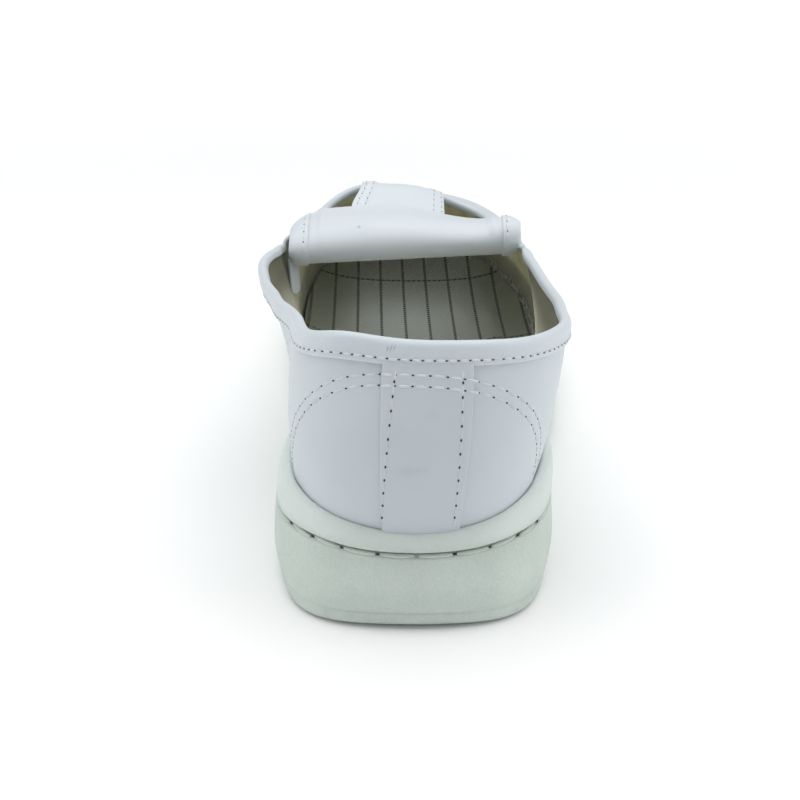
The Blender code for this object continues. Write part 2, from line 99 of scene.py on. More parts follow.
# %% Soft boxes
scene.view_settings.view_transform = "Standard"
AIM = (0.0, 0.0, 0.04)
SOFT_BOXES = (
    ("box_above", (0.0, 0.05, 1.10), AIM, 1.30, 10.8),
    ("box_left", (-1.00, -0.15, 0.55), AIM, 0.90, 3.0),
    ("box_right", (1.00, -0.15, 0.55), AIM, 0.90, 3.5),
    ("glow_under_vamp", (-0.005, 0.050, 0.045), (-0.005, 0.050, 0.0), 0.03, 0.0021),
)
for name, place, aim, width, watts in SOFT_BOXES:
    light = bpy.data.lights.new(name, "AREA")
    light.shape = "SQUARE"
    light.size = width
    light.energy = watts
    box = bpy.data.objects.new(name, light)
    box.location = place
    box.rotation_euler = (Vector(aim) - Vector(place)).to_track_quat("-Z", "Y").to_euler()
    scene.collection.objects.link(box)
TENT_COLOUR = (0.96, 0.98, 1.0, 1.0)
TENT_STRENGTH = 0.30
scene.world = bpy.data.worlds.new("tent")
scene.world.use_nodes = True
scene.world.node_tree.nodes["Background"].inputs["Color"].default_value = TENT_COLOUR
scene.world.node_tree.nodes["Background"].inputs["Strength"].default_value = TENT_STRENGTH
print("soft boxes:", len(SOFT_BOXES))

# %% [markdown]
# ## Writing finishes as sums
#
# A finish is a small network of nodes. Written node by node it is long and hard to read, so a
# Wire stands for one output, and sums on wires add the Math nodes. Every other node comes from
# one method that takes its type, its settings and what feeds its sockets.

# %% Wires
class Wire:
    """One output of a node. Sums on wires add the Math nodes that they need."""

    def __init__(self, finish, socket):
        self.finish = finish
        self.socket = socket

    def maths(self, operation, *values):
        return self.finish.node("ShaderNodeMath", {"operation": operation}, dict(enumerate(values)))

    def __add__(self, other):
        return self.maths("ADD", self, other)

    def __radd__(self, other):
        return self.maths("ADD", other, self)

    def __sub__(self, other):
        return self.maths("SUBTRACT", self, other)

    def __rsub__(self, other):
        return self.maths("SUBTRACT", other, self)

    def __mul__(self, other):
        return self.maths("MULTIPLY", self, other)

    def __rmul__(self, other):
        return self.maths("MULTIPLY", other, self)

    def __truediv__(self, other):
        return self.maths("DIVIDE", self, other)

    def __abs__(self):
        return self.maths("ABSOLUTE", self)

    def fraction(self):
        return self.maths("FRACT", self)

    def sine(self):
        return self.maths("SINE", self)

    def most(self, other):
        return self.maths("MAXIMUM", self, other)


print("sums on wires are ready")

# %% Finishes
PEBBLE_SMOOTHNESS = 0.6


class Finish:
    """A material with a Principled shader, and the nodes that vary it over the surface."""

    def __init__(self, name, constants):
        self.material = bpy.data.materials.new(name)
        self.material.use_nodes = True
        self.tree = self.material.node_tree
        self.shader = self.tree.nodes["Principled BSDF"]
        self.wear(constants)

    def feed(self, socket, value):
        if isinstance(value, Wire):
            self.tree.links.new(value.socket, socket)
        elif socket.type == "RGBA":
            socket.default_value = (*value, 1.0)
        else:
            socket.default_value = value

    def node(self, kind, settings, sockets, output=0):
        made = self.tree.nodes.new(kind)
        for setting, value in settings.items():
            setattr(made, setting, value)
        for socket, value in sockets.items():
            self.feed(made.inputs[socket], value)
        return Wire(self, made.outputs[output])

    def place(self):
        """Millimetres from the heel, as the sizes in this lesson are."""
        spot = self.node("ShaderNodeTexCoord", {}, {}, "Object")
        per_mm = (1 / MM, 1 / MM, 1 / MM)
        settings = {"operation": "MULTIPLY_ADD"}
        return self.node("ShaderNodeVectorMath", settings, {0: spot, 1: per_mm, 2: tuple(-HEEL_SHIFT)})

    def axes(self, place):
        return [self.node("ShaderNodeSeparateXYZ", {}, {0: place}, axis) for axis in "XYZ"]

    def noise(self, place, grain, detail=2.0):
        """Soft random values about 0.5 whose lumps are a grain across, in millimetres."""
        sockets = {"Vector": place, "Scale": 1 / grain, "Detail": detail}
        return self.node("ShaderNodeTexNoise", {}, sockets, "Fac")

    def pebbles(self, place, grain):
        """Distance from the middle of each pebble of a leather grain."""
        sockets = {"Vector": place, "Scale": 1 / grain, "Smoothness": PEBBLE_SMOOTHNESS}
        return self.node("ShaderNodeTexVoronoi", {"feature": "SMOOTH_F1"}, sockets, "Distance")

    def soft(self, value, low, high):
        """A soft change from 0 at low to 1 at high."""
        settings = {"interpolation_type": "SMOOTHSTEP"}
        return self.node("ShaderNodeMapRange", settings, {"Value": value, "From Min": low, "From Max": high})

    def far(self, place):
        """Distance of a place from the start of its axes."""
        return self.node("ShaderNodeVectorMath", {"operation": "LENGTH"}, {0: place}, "Value")

    def near(self, place, centre, halves, lean):
        """1 at the centre of a spot, fading to 0 at its half sizes; it leans to the outer side."""
        sockets = {"Vector": place, "Location": centre, "Rotation": (0.0, lean, 0.0), "Scale": halves}
        spot = self.node("ShaderNodeMapping", {"vector_type": "TEXTURE"}, sockets)
        return 1 - self.soft(self.far(spot), 0.0, 1.0)

    def blend(self, share, first, second):
        """A colour between two colours."""
        return self.node("ShaderNodeMix", {"data_type": "RGBA"}, {0: share, 6: first, 7: second}, 2)

    def wear(self, sockets):
        """Set sockets of the shader to values, or feed them from wires."""
        for socket, value in sockets.items():
            self.feed(self.shader.inputs[socket], value)

    def raise_by(self, height):
        """Relief in millimetres."""
        bump = self.node("ShaderNodeBump", {}, {"Height": height, "Distance": MM, "Strength": 1.0})
        self.feed(self.shader.inputs["Normal"], bump)


print("finishes are ready to be written")

# %% [markdown]
# ## The floor
#
# A sheet of plain white paper. Far from the shoe it is lit from behind, so that it stays white
# where the soft boxes no longer reach. It is stage, not shoe.

# %% Paper floor
FLOOR_WIDTH = 8.0
FLOOR_DROP = 0.0001
PAPER_WHITE = (0.985, 0.985, 0.985)
PAPER_LUMPS = 30.0
NO_LIGHT = (0.0, 0.0, 0.0)
BACKLIGHT = 0.6
BACKLIT_FROM = (450.0, 1200.0)
paper = Finish("paper", {"Base Color": PAPER_WHITE, "Emission Strength": BACKLIGHT})
paper_place = paper.place()
backlit = paper.blend(paper.soft(paper.far(paper_place), *BACKLIT_FROM), NO_LIGHT, PAPER_WHITE)
paper.wear({"Roughness": 0.85 + 0.1 * paper.noise(paper_place, PAPER_LUMPS), "Emission Color": backlit})
floor_mesh = bpy.data.meshes.new("floor")
floor_bm = bmesh.new()
bmesh.ops.create_grid(floor_bm, x_segments=4, y_segments=4, size=FLOOR_WIDTH / 2)
bmesh.ops.translate(floor_bm, verts=floor_bm.verts, vec=(0.0, 0.0, -FLOOR_DROP))
floor_bm.to_mesh(floor_mesh)
floor_bm.free()
floor_mesh.materials.append(paper.material)
floor = bpy.data.objects.new("floor", floor_mesh)
scene.collection.objects.link(floor)
print("floor, m:", FLOOR_WIDTH)

# %% [markdown]
# ## The last, as ribs
#
# A shoe is built on a last, and the CAD describes that shape by ribs: one at each of twenty
# stations round the shoe, from the middle of the heel by the outer side to the toe and back. A rib
# stands on the foot line, swells by its belly, and ends at the collar or, in front of the throat,
# at the shoulder of the vamp. The finer meshes here run through the same ribs.

# %% Ribs and curves
RIB_COLUMNS = ("place", "foot_x", "foot_y", "edge_x", "edge_y", "edge_z", "belly", "rim_z", "fullness")
RIBS = (
    ("heel back", 0.5, 4.5, 2.5, 4.0, 74.5, 4.0, 25.8, 0.30),
    ("heel corner, outer", 19.5, 11.0, 26.0, 10.5, 73.4, 3.6, 28.4, 0.30),
    ("heel side, outer", 29.8, 34.0, 40.2, 38.0, 68.6, 1.6, 31.8, 0.25),
    ("quarter, outer", 31.0, 66.0, 40.2, 72.0, 65.3, 1.6, 31.0, 0.15),
    ("waist, outer", 35.5, 98.0, 38.0, 103.0, 63.4, 2.4, 29.5, 0.08),
    ("throat, outer", 41.0, 122.0, 36.3, 124.0, 62.6, 3.4, 28.2, 0.03),
    ("instep, outer", 45.0, 152.0, 38.0, 151.0, 55.5, 4.2, 27.0, 0.10),
    ("ball, outer", 45.3, 182.0, 40.5, 181.0, 47.5, 4.0, 27.0, 0.22),
    ("toe side, outer", 40.5, 214.0, 37.0, 212.0, 44.0, 3.5, 29.5, 0.27),
    ("toe corner, outer", 24.5, 245.0, 22.0, 241.5, 43.0, 3.0, 33.5, 0.30),
    ("toe tip", -4.0, 258.0, -4.0, 254.0, 42.5, 2.5, 35.5, 0.32),
    ("toe corner, inner", -28.0, 245.0, -26.0, 241.5, 43.0, 3.0, 33.5, 0.31),
    ("toe side, inner", -37.0, 216.0, -35.0, 214.0, 45.0, 3.5, 30.0, 0.28),
    ("ball, inner", -38.0, 184.0, -37.5, 183.0, 51.0, 3.5, 27.5, 0.22),
    ("instep, inner", -35.0, 152.0, -39.0, 151.0, 58.5, 2.5, 28.0, 0.14),
    ("throat, inner", -30.5, 122.0, -40.3, 124.0, 63.6, 1.0, 29.2, 0.12),
    ("waist, inner", -28.0, 98.0, -43.6, 102.0, 65.0, 0.0, 30.0, 0.10),
    ("quarter, inner", -27.5, 66.0, -39.0, 69.0, 66.2, -0.5, 31.0, 0.20),
    ("heel side, inner", -29.5, 34.0, -29.8, 34.0, 69.6, 3.0, 31.8, 0.30),
    ("heel corner, inner", -19.0, 11.0, -20.5, 9.5, 73.6, 4.2, 28.4, 0.30),
)
STATIONS = len(RIBS)
LAP = 4


class Curve:
    """A natural cubic curve through values at rising places."""

    def __init__(self, places, values):
        self.places = np.asarray(places, float)
        self.values = np.asarray(values, float).reshape(len(self.places), -1)
        step = np.diff(self.places)[:, None]
        slope = np.diff(self.values, axis=0) / step
        matrix = np.eye(len(self.places))
        bend = np.zeros_like(self.values)
        for i in range(1, len(step)):
            matrix[i, i - 1:i + 2] = step[i - 1, 0], 2 * (step[i - 1, 0] + step[i, 0]), step[i, 0]
            bend[i] = 6 * (slope[i] - slope[i - 1])
        self.bend = np.linalg.solve(matrix, bend)

    def columns(self, place):
        place = np.asarray(place, float)
        i = np.clip(np.searchsorted(self.places, place) - 1, 0, len(self.places) - 2)
        width = (self.places[i + 1] - self.places[i])[..., None]
        right = (place - self.places[i])[..., None] / width
        left = 1 - right
        straight = left * self.values[i] + right * self.values[i + 1]
        curve = (left ** 3 - left) * self.bend[i] + (right ** 3 - right) * self.bend[i + 1]
        return straight + curve * width ** 2 / 6

    def __call__(self, place):
        return self.columns(place)[..., 0]


round_places = range(-LAP, STATIONS + LAP + 1)
rib_curve = Curve(round_places, [RIBS[place % STATIONS][1:] for place in round_places])
print("ribs:", STATIONS)

# %% Heights along the shoe
CLEARANCE = 0.3
FLOOR_HEIGHT = ((0, 17.0), (60, 16.5), (100, 15.0), (150, 12.5), (200, 13.0), (235, 17.0), (262, 21.5))
GROOVE_HEIGHT = ((0, 20.3), (60, 19.8), (110, 18.6), (160, 17.0), (200, 18.0), (235, 21.5), (264, 26.0))
MIDDLE_LINE = ((0, 0.5), (66, 1.8), (98, 3.8), (150, 4.8), (184, 3.7), (216, 1.5), (245, -2.0))
MIDDLE_ENDS = (18.0, 240.0)
floor_height = Curve(*zip(*FLOOR_HEIGHT))
groove_height = Curve(*zip(*GROOVE_HEIGHT))
middle_x = Curve(*zip(*MIDDLE_LINE))
print("groove height at the heel, mm:", groove_height(0.0).round(1))

# %% Points on the ribs
NUDGE = 0.02


def joined(*axes):
    """Points from their axes."""
    return np.stack(np.broadcast_arrays(*axes), -1)


def unit(vectors):
    return vectors / np.linalg.norm(vectors, axis=-1, keepdims=True)


def between(low, high, share):
    """From low at a share of 0 to high at a share of 1."""
    return low + (high - low) * share


def soft_step(value, low, high):
    """A soft change from 0 at low to 1 at high."""
    share = np.clip((value - low) / (high - low), 0.0, 1.0)
    return share ** 2 * (3 - 2 * share)


def rib(station, *columns):
    """Columns of the ribs at any station."""
    values = rib_curve.columns(np.mod(station, STATIONS))
    return [values[..., RIB_COLUMNS.index(column) - 1] for column in columns]


def foot(station):
    """The line on which the upper stands."""
    x, y = rib(station, "foot_x", "foot_y")
    return joined(x, y, floor_height(y) + CLEARANCE)


def edge(station):
    """The collar, or the shoulder of the vamp."""
    return joined(*rib(station, "edge_x", "edge_y", "edge_z"))


def outward(station):
    """The level direction that leaves the shoe."""
    along = foot(station + NUDGE) - foot(station - NUDGE)
    return unit(joined(along[..., 1], -along[..., 0], 0.0))


def knee(station):
    """The pull that gives a rib its belly."""
    belly, = rib(station, "belly")
    return (foot(station) + edge(station)) / 2 + 2 * belly[..., None] * outward(station)


print("collar height at the heel, mm:", edge(np.array(0.0))[2].round(1))

# %% [markdown]
# ## Creases in the wall
#
# Soft leather isn't a mathematical surface. The collar is pinched behind the inner ankle and
# flares in front of the pinch, the stiff counter in the heel stands out a little, and the quarters
# dip where the vamp is lapped over them. Each is a soft trough or ridge, and it
# moves the wall, so everything that is sewn to the wall moves along with it.

# %% Creases, counter and side seams
# Columns: place, station, rise, half width, half height, lean, depth.
CREASES = (
    ("pinch behind the inner ankle", 17.75, 1.02, 0.30, 0.34, 0.30, -0.9),
    ("swell behind the pinch", 18.40, 0.95, 0.28, 0.30, 0.20, 0.3),
    ("flare in front of the pinch", 17.00, 1.00, 0.40, 0.28, 0.00, 0.6),
    ("flare of the inner waist", 16.10, 1.02, 0.75, 0.45, 0.00, 1.7),
    ("fold below the pinch", 17.45, 0.62, 0.16, 0.22, 0.90, -0.7),
    ("dip in the outer collar", 2.35, 0.97, 0.30, 0.26, -0.30, -0.9),
    ("slack in the outer quarter", 3.30, 0.70, 0.45, 0.24, 0.30, -0.6),
    ("slack in the inner quarter", 16.20, 0.60, 0.45, 0.26, -0.40, -0.6),
    ("hollow over the heel", -0.55, 0.62, 0.50, 0.22, 0.00, -0.3),
    ("ripple in the inner collar", 17.35, 1.00, 0.10, 0.16, 0.20, 0.45),
    ("next ripple", 17.05, 1.00, 0.09, 0.14, 0.20, -0.4),
    ("last ripple", 16.70, 1.00, 0.10, 0.14, 0.10, 0.35),
)
# Columns: place, station, half width, height.
LIFTS = (
    ("straight collar at the inner heel", 19.20, 0.50, 1.8),
    ("dip of the collar at the outer heel", 1.10, 0.50, -0.5),
)
LIFT_POWER = 4
COUNTER_MIDDLE = -0.10
COUNTER_HALF = 1.72
COUNTER_TOP = 0.868
COUNTER_ROUNDNESS = 2.4
COUNTER_RAISED = 0.35
COUNTER_EDGE = (0.975, 1.03)
SEAM_STATION = 4.62
SEAM_LEAN = 0.85
SEAM_DIP = 0.5
SEAM_FADES = 0.28
SEAM_STEP = 0.025


def turn_from(station, start):
    """Stations from a start, by the shorter way round."""
    return np.mod(station - start + STATIONS / 2, STATIONS) - STATIONS / 2


def mound(across, along=0.0):
    """1 in the middle of a soft mound, falling away to 0 all round."""
    return np.exp(-across ** 2 - along ** 2)


def counter_reach(station, rise):
    """1 on the edge of the counter, less inside it and more outside."""
    across = np.abs(turn_from(station, COUNTER_MIDDLE)) / COUNTER_HALF
    up = rise / COUNTER_TOP
    return (across ** COUNTER_ROUNDNESS + up ** COUNTER_ROUNDNESS) ** (1 / COUNTER_ROUNDNESS)


def seam_station(rise):
    """Where the vamp is lapped over the quarter, counted from the heel."""
    return SEAM_STATION + SEAM_LEAN * (1 - rise) ** 2


def relief(station, rise):
    """How far the wall is pushed out of its plain shape."""
    out = COUNTER_RAISED * (1 - soft_step(counter_reach(station, rise), *COUNTER_EDGE))
    for _, middle_station, middle_rise, half_width, half_height, lean, depth in CREASES:
        up = rise - middle_rise
        across = turn_from(station, middle_station) - lean * up
        out = out + depth * mound(across / half_width, up / half_height)
    behind = seam_station(rise) - np.abs(turn_from(station, 0.0))
    dip = soft_step(behind, -SEAM_STEP, SEAM_STEP) * np.exp(-np.maximum(behind, 0.0) / SEAM_FADES)
    return out - SEAM_DIP * dip


print("creases:", len(CREASES))

# %% Wall of the upper
def wall(station, rise):
    """The outer face of the upper, with rise from 0 at the foot line to 1 at the edge."""
    station, rise = np.broadcast_arrays(np.asarray(station, float), np.asarray(rise, float))
    up, rest = rise[..., None], 1 - rise[..., None]
    plain = rest ** 2 * foot(station) + 2 * rest * up * knee(station) + up ** 2 * edge(station)
    point = plain + relief(station, rise)[..., None] * outward(station)
    for _, middle_station, half_width, height in LIFTS:
        lift = height * mound(turn_from(station, middle_station) / half_width)
        point[..., 2] += lift * rise ** LIFT_POWER
    return point


def rise_at(station, height):
    """How far up its rib the wall reaches a height."""
    low, high = foot(station)[..., 2], edge(station)[..., 2]
    return (height - low) / (high - low)


def rim_rise(station):
    """How far up the sole's rim covers the wall."""
    return rise_at(station, rib(station, "rim_z")[0])


def wall_frame(station, rise):
    """Points of the wall, the way out of it and the way up it."""
    up = unit(wall(station, rise + NUDGE) - wall(station, rise - NUDGE))
    along = wall(station + NUDGE, rise) - wall(station - NUDGE, rise)
    return wall(station, rise), unit(np.cross(along, up)), up


print("the sole's rim covers at the heel:", rim_rise(np.array(0.0)).round(2))

# %% [markdown]
# ## The vamp's crown
#
# In front of the throat the ribs of both sides go on over the foot and meet on the spine. The
# throat is a notch with rounded corners in that crown, and the instep strap lies in it.

# %% Crown
SPINE_MEETS = ((5, 124.0), (6, 149.0), (7, 174.0), (8, 198.0), (9, 216.0), (10, 226.0))
SPINE_HEIGHT = ((118, 77.0), (140, 77.0), (150, 75.8), (160, 73.4), (172, 69.8), (185, 66.0),
                (200, 61.8), (216, 57.6), (230, 54.2))
SPINE_X = -3.0
INSTEP_Y = 140.0
CROWN_REACH = 0.45
THROAT_STATION = 5
# Columns: place, x, y, half width, half length, height.
CROWN_SWELLS = (
    ("instep beside the inner window", -17.5, 152.0, 8.0, 16.0, 2.3),
    ("instep beside the outer window", 15.0, 156.0, 10.0, 18.0, -1.6),
    ("hollow under the inner end of the bar", -30.0, 128.5, 5.5, 7.5, -4.0),
    ("hollow under the outer end of the bar", 29.0, 129.0, 5.0, 7.0, -3.5),
)
spine_meets = Curve(*zip(*SPINE_MEETS))
spine_height = Curve(*zip(*SPINE_HEIGHT))


def crown(station, reach):
    """The vamp over the foot, with reach from 0 at the shoulder to 1 on the spine."""
    reach = np.asarray(reach, float)[..., None]
    shoulder = edge(station)
    meets = spine_meets(np.minimum(station, STATIONS - station))
    spine = joined(SPINE_X, meets, spine_height(meets))
    span = np.linalg.norm(spine - shoulder, axis=-1, keepdims=True)
    level = unit((shoulder - spine) * (1, 1, 0))
    slope = (spine_height(meets + NUDGE) - spine_height(meets - NUDGE)) / (2 * NUDGE)
    level[..., 2] = level[..., 1] * slope
    fullness, = rib(station, "fullness")
    start = shoulder + unit(shoulder - knee(station)) * fullness[..., None] * span
    end = spine + level * CROWN_REACH * span
    rest = 1 - reach
    point = (rest ** 3 * shoulder + 3 * rest ** 2 * reach * start
             + 3 * rest * reach ** 2 * end + reach ** 3 * spine)
    for _, x, y, half_width, half_length, height in CROWN_SWELLS:
        across, along = (point[..., 0] - x) / half_width, (point[..., 1] - y) / half_length
        point[..., 2] += height * mound(across, along)
    return point


print("instep height, mm:", spine_height(INSTEP_Y).round(1))

# %% [markdown]
# ## From points to pieces
#
# A sheet starts as a flat grid from bmesh, whose corners then move to points that we work out.
# Where two sides of a sheet meet, as all round the shoe, merging the doubles closes it. A piece
# rides on the shoe's one body, and may stand for the plain CAD solids that it hides.

# %% Sheets
WELD = 0.01 * MM


def sheet(points, keep=None):
    """A grid with a corner at each of points[column, row]."""
    places = world(points)
    columns, rows = places.shape[0] - 1, places.shape[1] - 1
    bm = bmesh.new()
    bmesh.ops.create_grid(bm, x_segments=columns, y_segments=rows, size=0.5)
    if keep is not None:
        spare = []
        for face in bm.faces:
            centre = face.calc_center_median()
            column = math.floor((centre.x + 0.5) * columns)
            row = math.floor((centre.y + 0.5) * rows)
            if not keep(column, row):
                spare.append(face)
        bmesh.ops.delete(bm, geom=spare, context="FACES")
    for vert in bm.verts:
        column = round((vert.co.x + 0.5) * columns)
        row = round((vert.co.y + 0.5) * rows)
        vert.co = places[column, row]
    bmesh.ops.remove_doubles(bm, verts=bm.verts, dist=WELD)
    return bm


def close_ends(bm):
    """Fill the open ends of a tube."""
    bmesh.ops.holes_fill(bm, edges=[e for e in bm.edges if e.is_boundary], sides=0)
    bmesh.ops.recalc_face_normals(bm, faces=bm.faces)


def face_normals(points):
    """The way out of a sheet at each of its corners."""
    return unit(np.cross(np.gradient(points, axis=0), np.gradient(points, axis=1)))


print("sheets are ready to be placed")

# %% Pieces
SHARP = math.radians(50)


def dressed(name, mesh, finishes):
    """An object of the shoe, which rides on its one body."""
    mesh.shade_smooth()
    for finish in finishes:
        mesh.materials.append(finish.material)
    made = bpy.data.objects.new(name, mesh)
    scene.collection.objects.link(made)
    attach(made, "root")
    print(name, "faces:", len(mesh.polygons))
    return made


def piece(name, bm, finishes, stands_for=()):
    """An object of the shoe from a finished bmesh."""
    mesh = bpy.data.meshes.new(name)
    bm.to_mesh(mesh)
    bm.free()
    made = dressed(name, mesh, finishes)
    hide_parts(*stands_for)
    return made


def thicken(made, thickness, side, lining=0):
    """Thickness inwards with side -1 and outwards with side 1."""
    solid = made.modifiers.new("thickness", "SOLIDIFY")
    solid.thickness = thickness * MM
    solid.offset = side
    solid.use_even_offset = True
    solid.use_quality_normals = True
    solid.material_offset = lining


def round_off(made, width):
    """Rounded edges where a cut edge is sharp."""
    bevel = made.modifiers.new("rounded", "BEVEL")
    bevel.width = width * MM
    bevel.segments = 2
    bevel.limit_method = "ANGLE"
    bevel.angle_limit = SHARP


def smoothed(made, levels):
    """Subdivision, the same in the view and in the render."""
    surface = made.modifiers.new("smooth", "SUBSURF")
    surface.levels = levels
    surface.render_levels = levels


def settle(made):
    """Make what the modifiers give the mesh itself."""
    graph = bpy.context.evaluated_depsgraph_get()
    mesh = bpy.data.meshes.new_from_object(made.evaluated_get(graph))
    made.modifiers.clear()
    plain = made.data
    made.data = mesh
    bpy.data.meshes.remove(plain)
    mesh.name = made.name


print("edges sharper than this are rounded, degrees:", round(math.degrees(SHARP)))

# %% [markdown]
# ## White leather
#
# The upper, the tape and the strap are the same coated synthetic leather: a smooth bluish white
# with a fine pebbled grain and a satin gloss. The noise of three sizes gives grain, a slight
# unevenness and a very faint drift of colour. Marks of use are soft dark spots at known places.

# %% Leather
MARK_COLOUR = (0.16, 0.16, 0.15)
MARK_LUMPS = 1.2
GRAIN = 0.75
GRAIN_HEIGHT = 0.024
DRIFT = 22.0
DRIFT_BAND = (0.35, 0.65)
SWELL = 9.0
SWELL_HEIGHT = 0.05


def leather(name, colour, shade, marks):
    """White leather, with marks as (centre, half sizes, lean, strength)."""
    finish = Finish(name, {"Specular IOR Level": 0.42, "Coat Weight": 0.06, "Coat Roughness": 0.35})
    place = finish.place()
    drift = finish.noise(place, DRIFT)
    grain = finish.pebbles(place, GRAIN)
    base = finish.blend(finish.soft(drift, *DRIFT_BAND), colour, shade)
    for centre, halves, lean, strength in marks:
        spot = finish.near(place, centre, halves, lean) * finish.noise(place, MARK_LUMPS) * strength
        base = finish.blend(spot, base, MARK_COLOUR)
    finish.wear({"Base Color": base, "Roughness": 0.36 + 0.12 * drift + 0.05 * grain})
    finish.raise_by(GRAIN_HEIGHT * grain + SWELL_HEIGHT * finish.noise(place, SWELL))
    return finish


print("leather grain, mm:", GRAIN)

# %% Leathers and their marks
SCRATCHES = (
    ((13.1, 0.6, 56.5), (0.30, 5.0, 3.6), 0.0, 1.3),
    ((12.9, 0.0, 45.5), (0.22, 4.3, 2.6), 0.0, 0.9),
)
SMUDGES = (
    ((-1.7, -1.0, 43.5), (4.7, 13.0, 2.6), 0.0, 0.16),
    ((2.0, -1.0, 44.0), (2.9, 10.0, 2.0), 0.0, 0.14),
    ((4.5, -0.5, 58.0), (2.3, 9.0, 1.8), 0.0, 0.10),
)
BINDING_MARKS = (
    ((-6.3, 2.2, 73.4), (0.26, 4.7, 1.3), 0.4, 0.9),
    ((-5.5, 2.2, 73.5), (0.28, 5.0, 1.4), 0.4, 1.0),
    ((-4.7, 2.2, 73.6), (0.26, 4.7, 1.3), 0.4, 0.9),
)
STRAP_MARKS = (
    ((-16.2, 122.6, 69.6), (0.8, 1.3, 0.8), 0.0, 1.0),
    ((5.0, 119.6, 67.9), (0.8, 1.3, 0.8), 0.0, 0.9),
)
# One leather in four copies that differ in colour: the strap's copy is painted lighter, as painted light on
# its top that looks up, and the stay's copy darker, as painted shade on the middle of the heel. The tape's
# copy is a touch lighter than the upper's.
upper_leather = leather("upper_leather", (0.62, 0.675, 0.71), (0.60, 0.66, 0.69), SCRATCHES)
stay_leather = leather("stay_leather", (0.595, 0.65, 0.695), (0.575, 0.63, 0.675), SMUDGES)
binding_leather = leather("binding_leather", (0.645, 0.70, 0.735), (0.625, 0.685, 0.72), BINDING_MARKS)
strap_leather = leather("strap_leather", (0.675, 0.72, 0.755), (0.655, 0.705, 0.74), STRAP_MARKS)
print("marks:", len(SCRATCHES) + len(SMUDGES) + len(BINDING_MARKS) + len(STRAP_MARKS))

# %% [markdown]
# ## Lining cloth
#
# Inside, the leather is backed with a plain beige weave. Crossed sine waves raise the threads.
# Light that shines through the cloth makes it glow. Along the collar its colour is painted darker,
# as painted shade on the inner walls.

# %% Lining
LINING_THREAD = 0.55
THREAD_HEIGHT = 0.04
LIGHT_REACH = 4.0
COLLAR_SHADE_COLOUR = (0.15, 0.147, 0.11)
COLLAR_SHADE_FROM = (40.0, 58.0)
COLLAR_SHADE_ENDS = (110.0, 140.0)
LINING_COLOUR = (0.69, 0.68, 0.56)
LINING_SHADE = (0.61, 0.60, 0.49)
LINING_LUMPS = 7.0
LINING_BAND = (0.3, 0.7)
lining = Finish("lining_cloth", {"Roughness": 0.92, "Specular IOR Level": 0.2, "Subsurface Weight": 0.7})
lining.wear({"Subsurface Radius": (1.0, 0.95, 0.8), "Subsurface Scale": LIGHT_REACH * MM})
lining_place = lining.place()
lining_x, lining_y, lining_z = lining.axes(lining_place)
turn = 2 * math.pi / LINING_THREAD
weave = ((lining_y * turn).sine() * (lining_z * turn).sine() + (lining_x * turn).sine()) * 0.5
lining_drift = lining.soft(lining.noise(lining_place, LINING_LUMPS), *LINING_BAND)
lining_base = lining.blend(lining_drift, LINING_COLOUR, LINING_SHADE)
# Painted shade: the colour is darker high up by the collar, behind the throat.
collar_shade = lining.soft(lining_z, *COLLAR_SHADE_FROM) * (1 - lining.soft(lining_y, *COLLAR_SHADE_ENDS))
lining.wear({"Base Color": lining.blend(collar_shade, lining_base, COLLAR_SHADE_COLOUR)})
lining.raise_by(weave * THREAD_HEIGHT)
print("lining thread, mm:", LINING_THREAD)

# %% [markdown]
# ## The upper
#
# One wall all round, and the crown over the foot. The grid runs station by station round the shoe,
# and row by row from the foot line up. The throat is cut by deleting the faces inside the notch and
# moving the ragged edge that this leaves onto the notch's outline. The outer rear corner of the
# crown is cut away too, because the bar's end lies there and the crown would stick out behind it.
# Solidify then gives the wall its thickness, with the lining as the finish of the inner face.

# %% Upper sheet
UPPER_WALL = 1.3
UPPER_STEPS = 22
CUP_ROWS = 3
WALL_ROWS = 40
CROWN_ROWS = 36
stations = np.arange(STATIONS * UPPER_STEPS + 1) / UPPER_STEPS
at_rim = rim_rise(stations)
rises = np.concatenate((
    np.linspace(0, 1, CUP_ROWS, endpoint=False)[None, :] * at_rim[:, None],
    at_rim[:, None] + (1 - at_rim[:, None]) * np.linspace(0, 1, WALL_ROWS - CUP_ROWS + 1)[None, :],
), axis=1)
wall_points = wall(stations[:, None], rises)
over_foot = np.clip(stations, THROAT_STATION, STATIONS - THROAT_STATION)
reaches = np.arange(1, CROWN_ROWS + 1) / CROWN_ROWS
crown_points = crown(*np.broadcast_arrays(over_foot[:, None], reaches[None, :]))
upper_points = np.concatenate((wall_points, crown_points), axis=1)


def is_upper(column, row):
    covered = THROAT_STATION * UPPER_STEPS <= column < (STATIONS - THROAT_STATION) * UPPER_STEPS
    return row < WALL_ROWS or covered


upper_bm = sheet(upper_points, is_upper)
over = BVHTree.FromBMesh(upper_bm)
print("upper sheet faces:", len(upper_bm.faces))

# %% Throat outline
THROAT_MIDDLE = np.array((-1.0, 126.0))
THROAT_HALVES = np.array((27.0, 33.0))
THROAT_SQUARENESS = 4.0
HIGH_ABOVE = 1.0


def over_height(x, y):
    """Height of the vamp's outer face, in millimetres."""
    above = world((x, y, 0.0))
    hit, _, _, _ = over.ray_cast(Vector((above[0], above[1], HIGH_ABOVE)), Vector((0, 0, -1)))
    return hit.z / MM if hit else None


def throat_reach(plan):
    """1 on the throat's outline, less inside it."""
    shares = np.abs((plan - THROAT_MIDDLE) / THROAT_HALVES) ** THROAT_SQUARENESS
    return shares.sum() ** (1 / THROAT_SQUARENESS)


def squared_circle(turn, squareness):
    """Across and up on the upper half of a circle that is squared off."""
    power = 2 / squareness
    return np.sign(np.cos(turn)) * np.abs(np.cos(turn)) ** power, np.abs(np.sin(turn)) ** power


def throat_outline(turn):
    """The throat's outline from above."""
    return THROAT_MIDDLE + THROAT_HALVES * joined(*squared_circle(turn, THROAT_SQUARENESS))


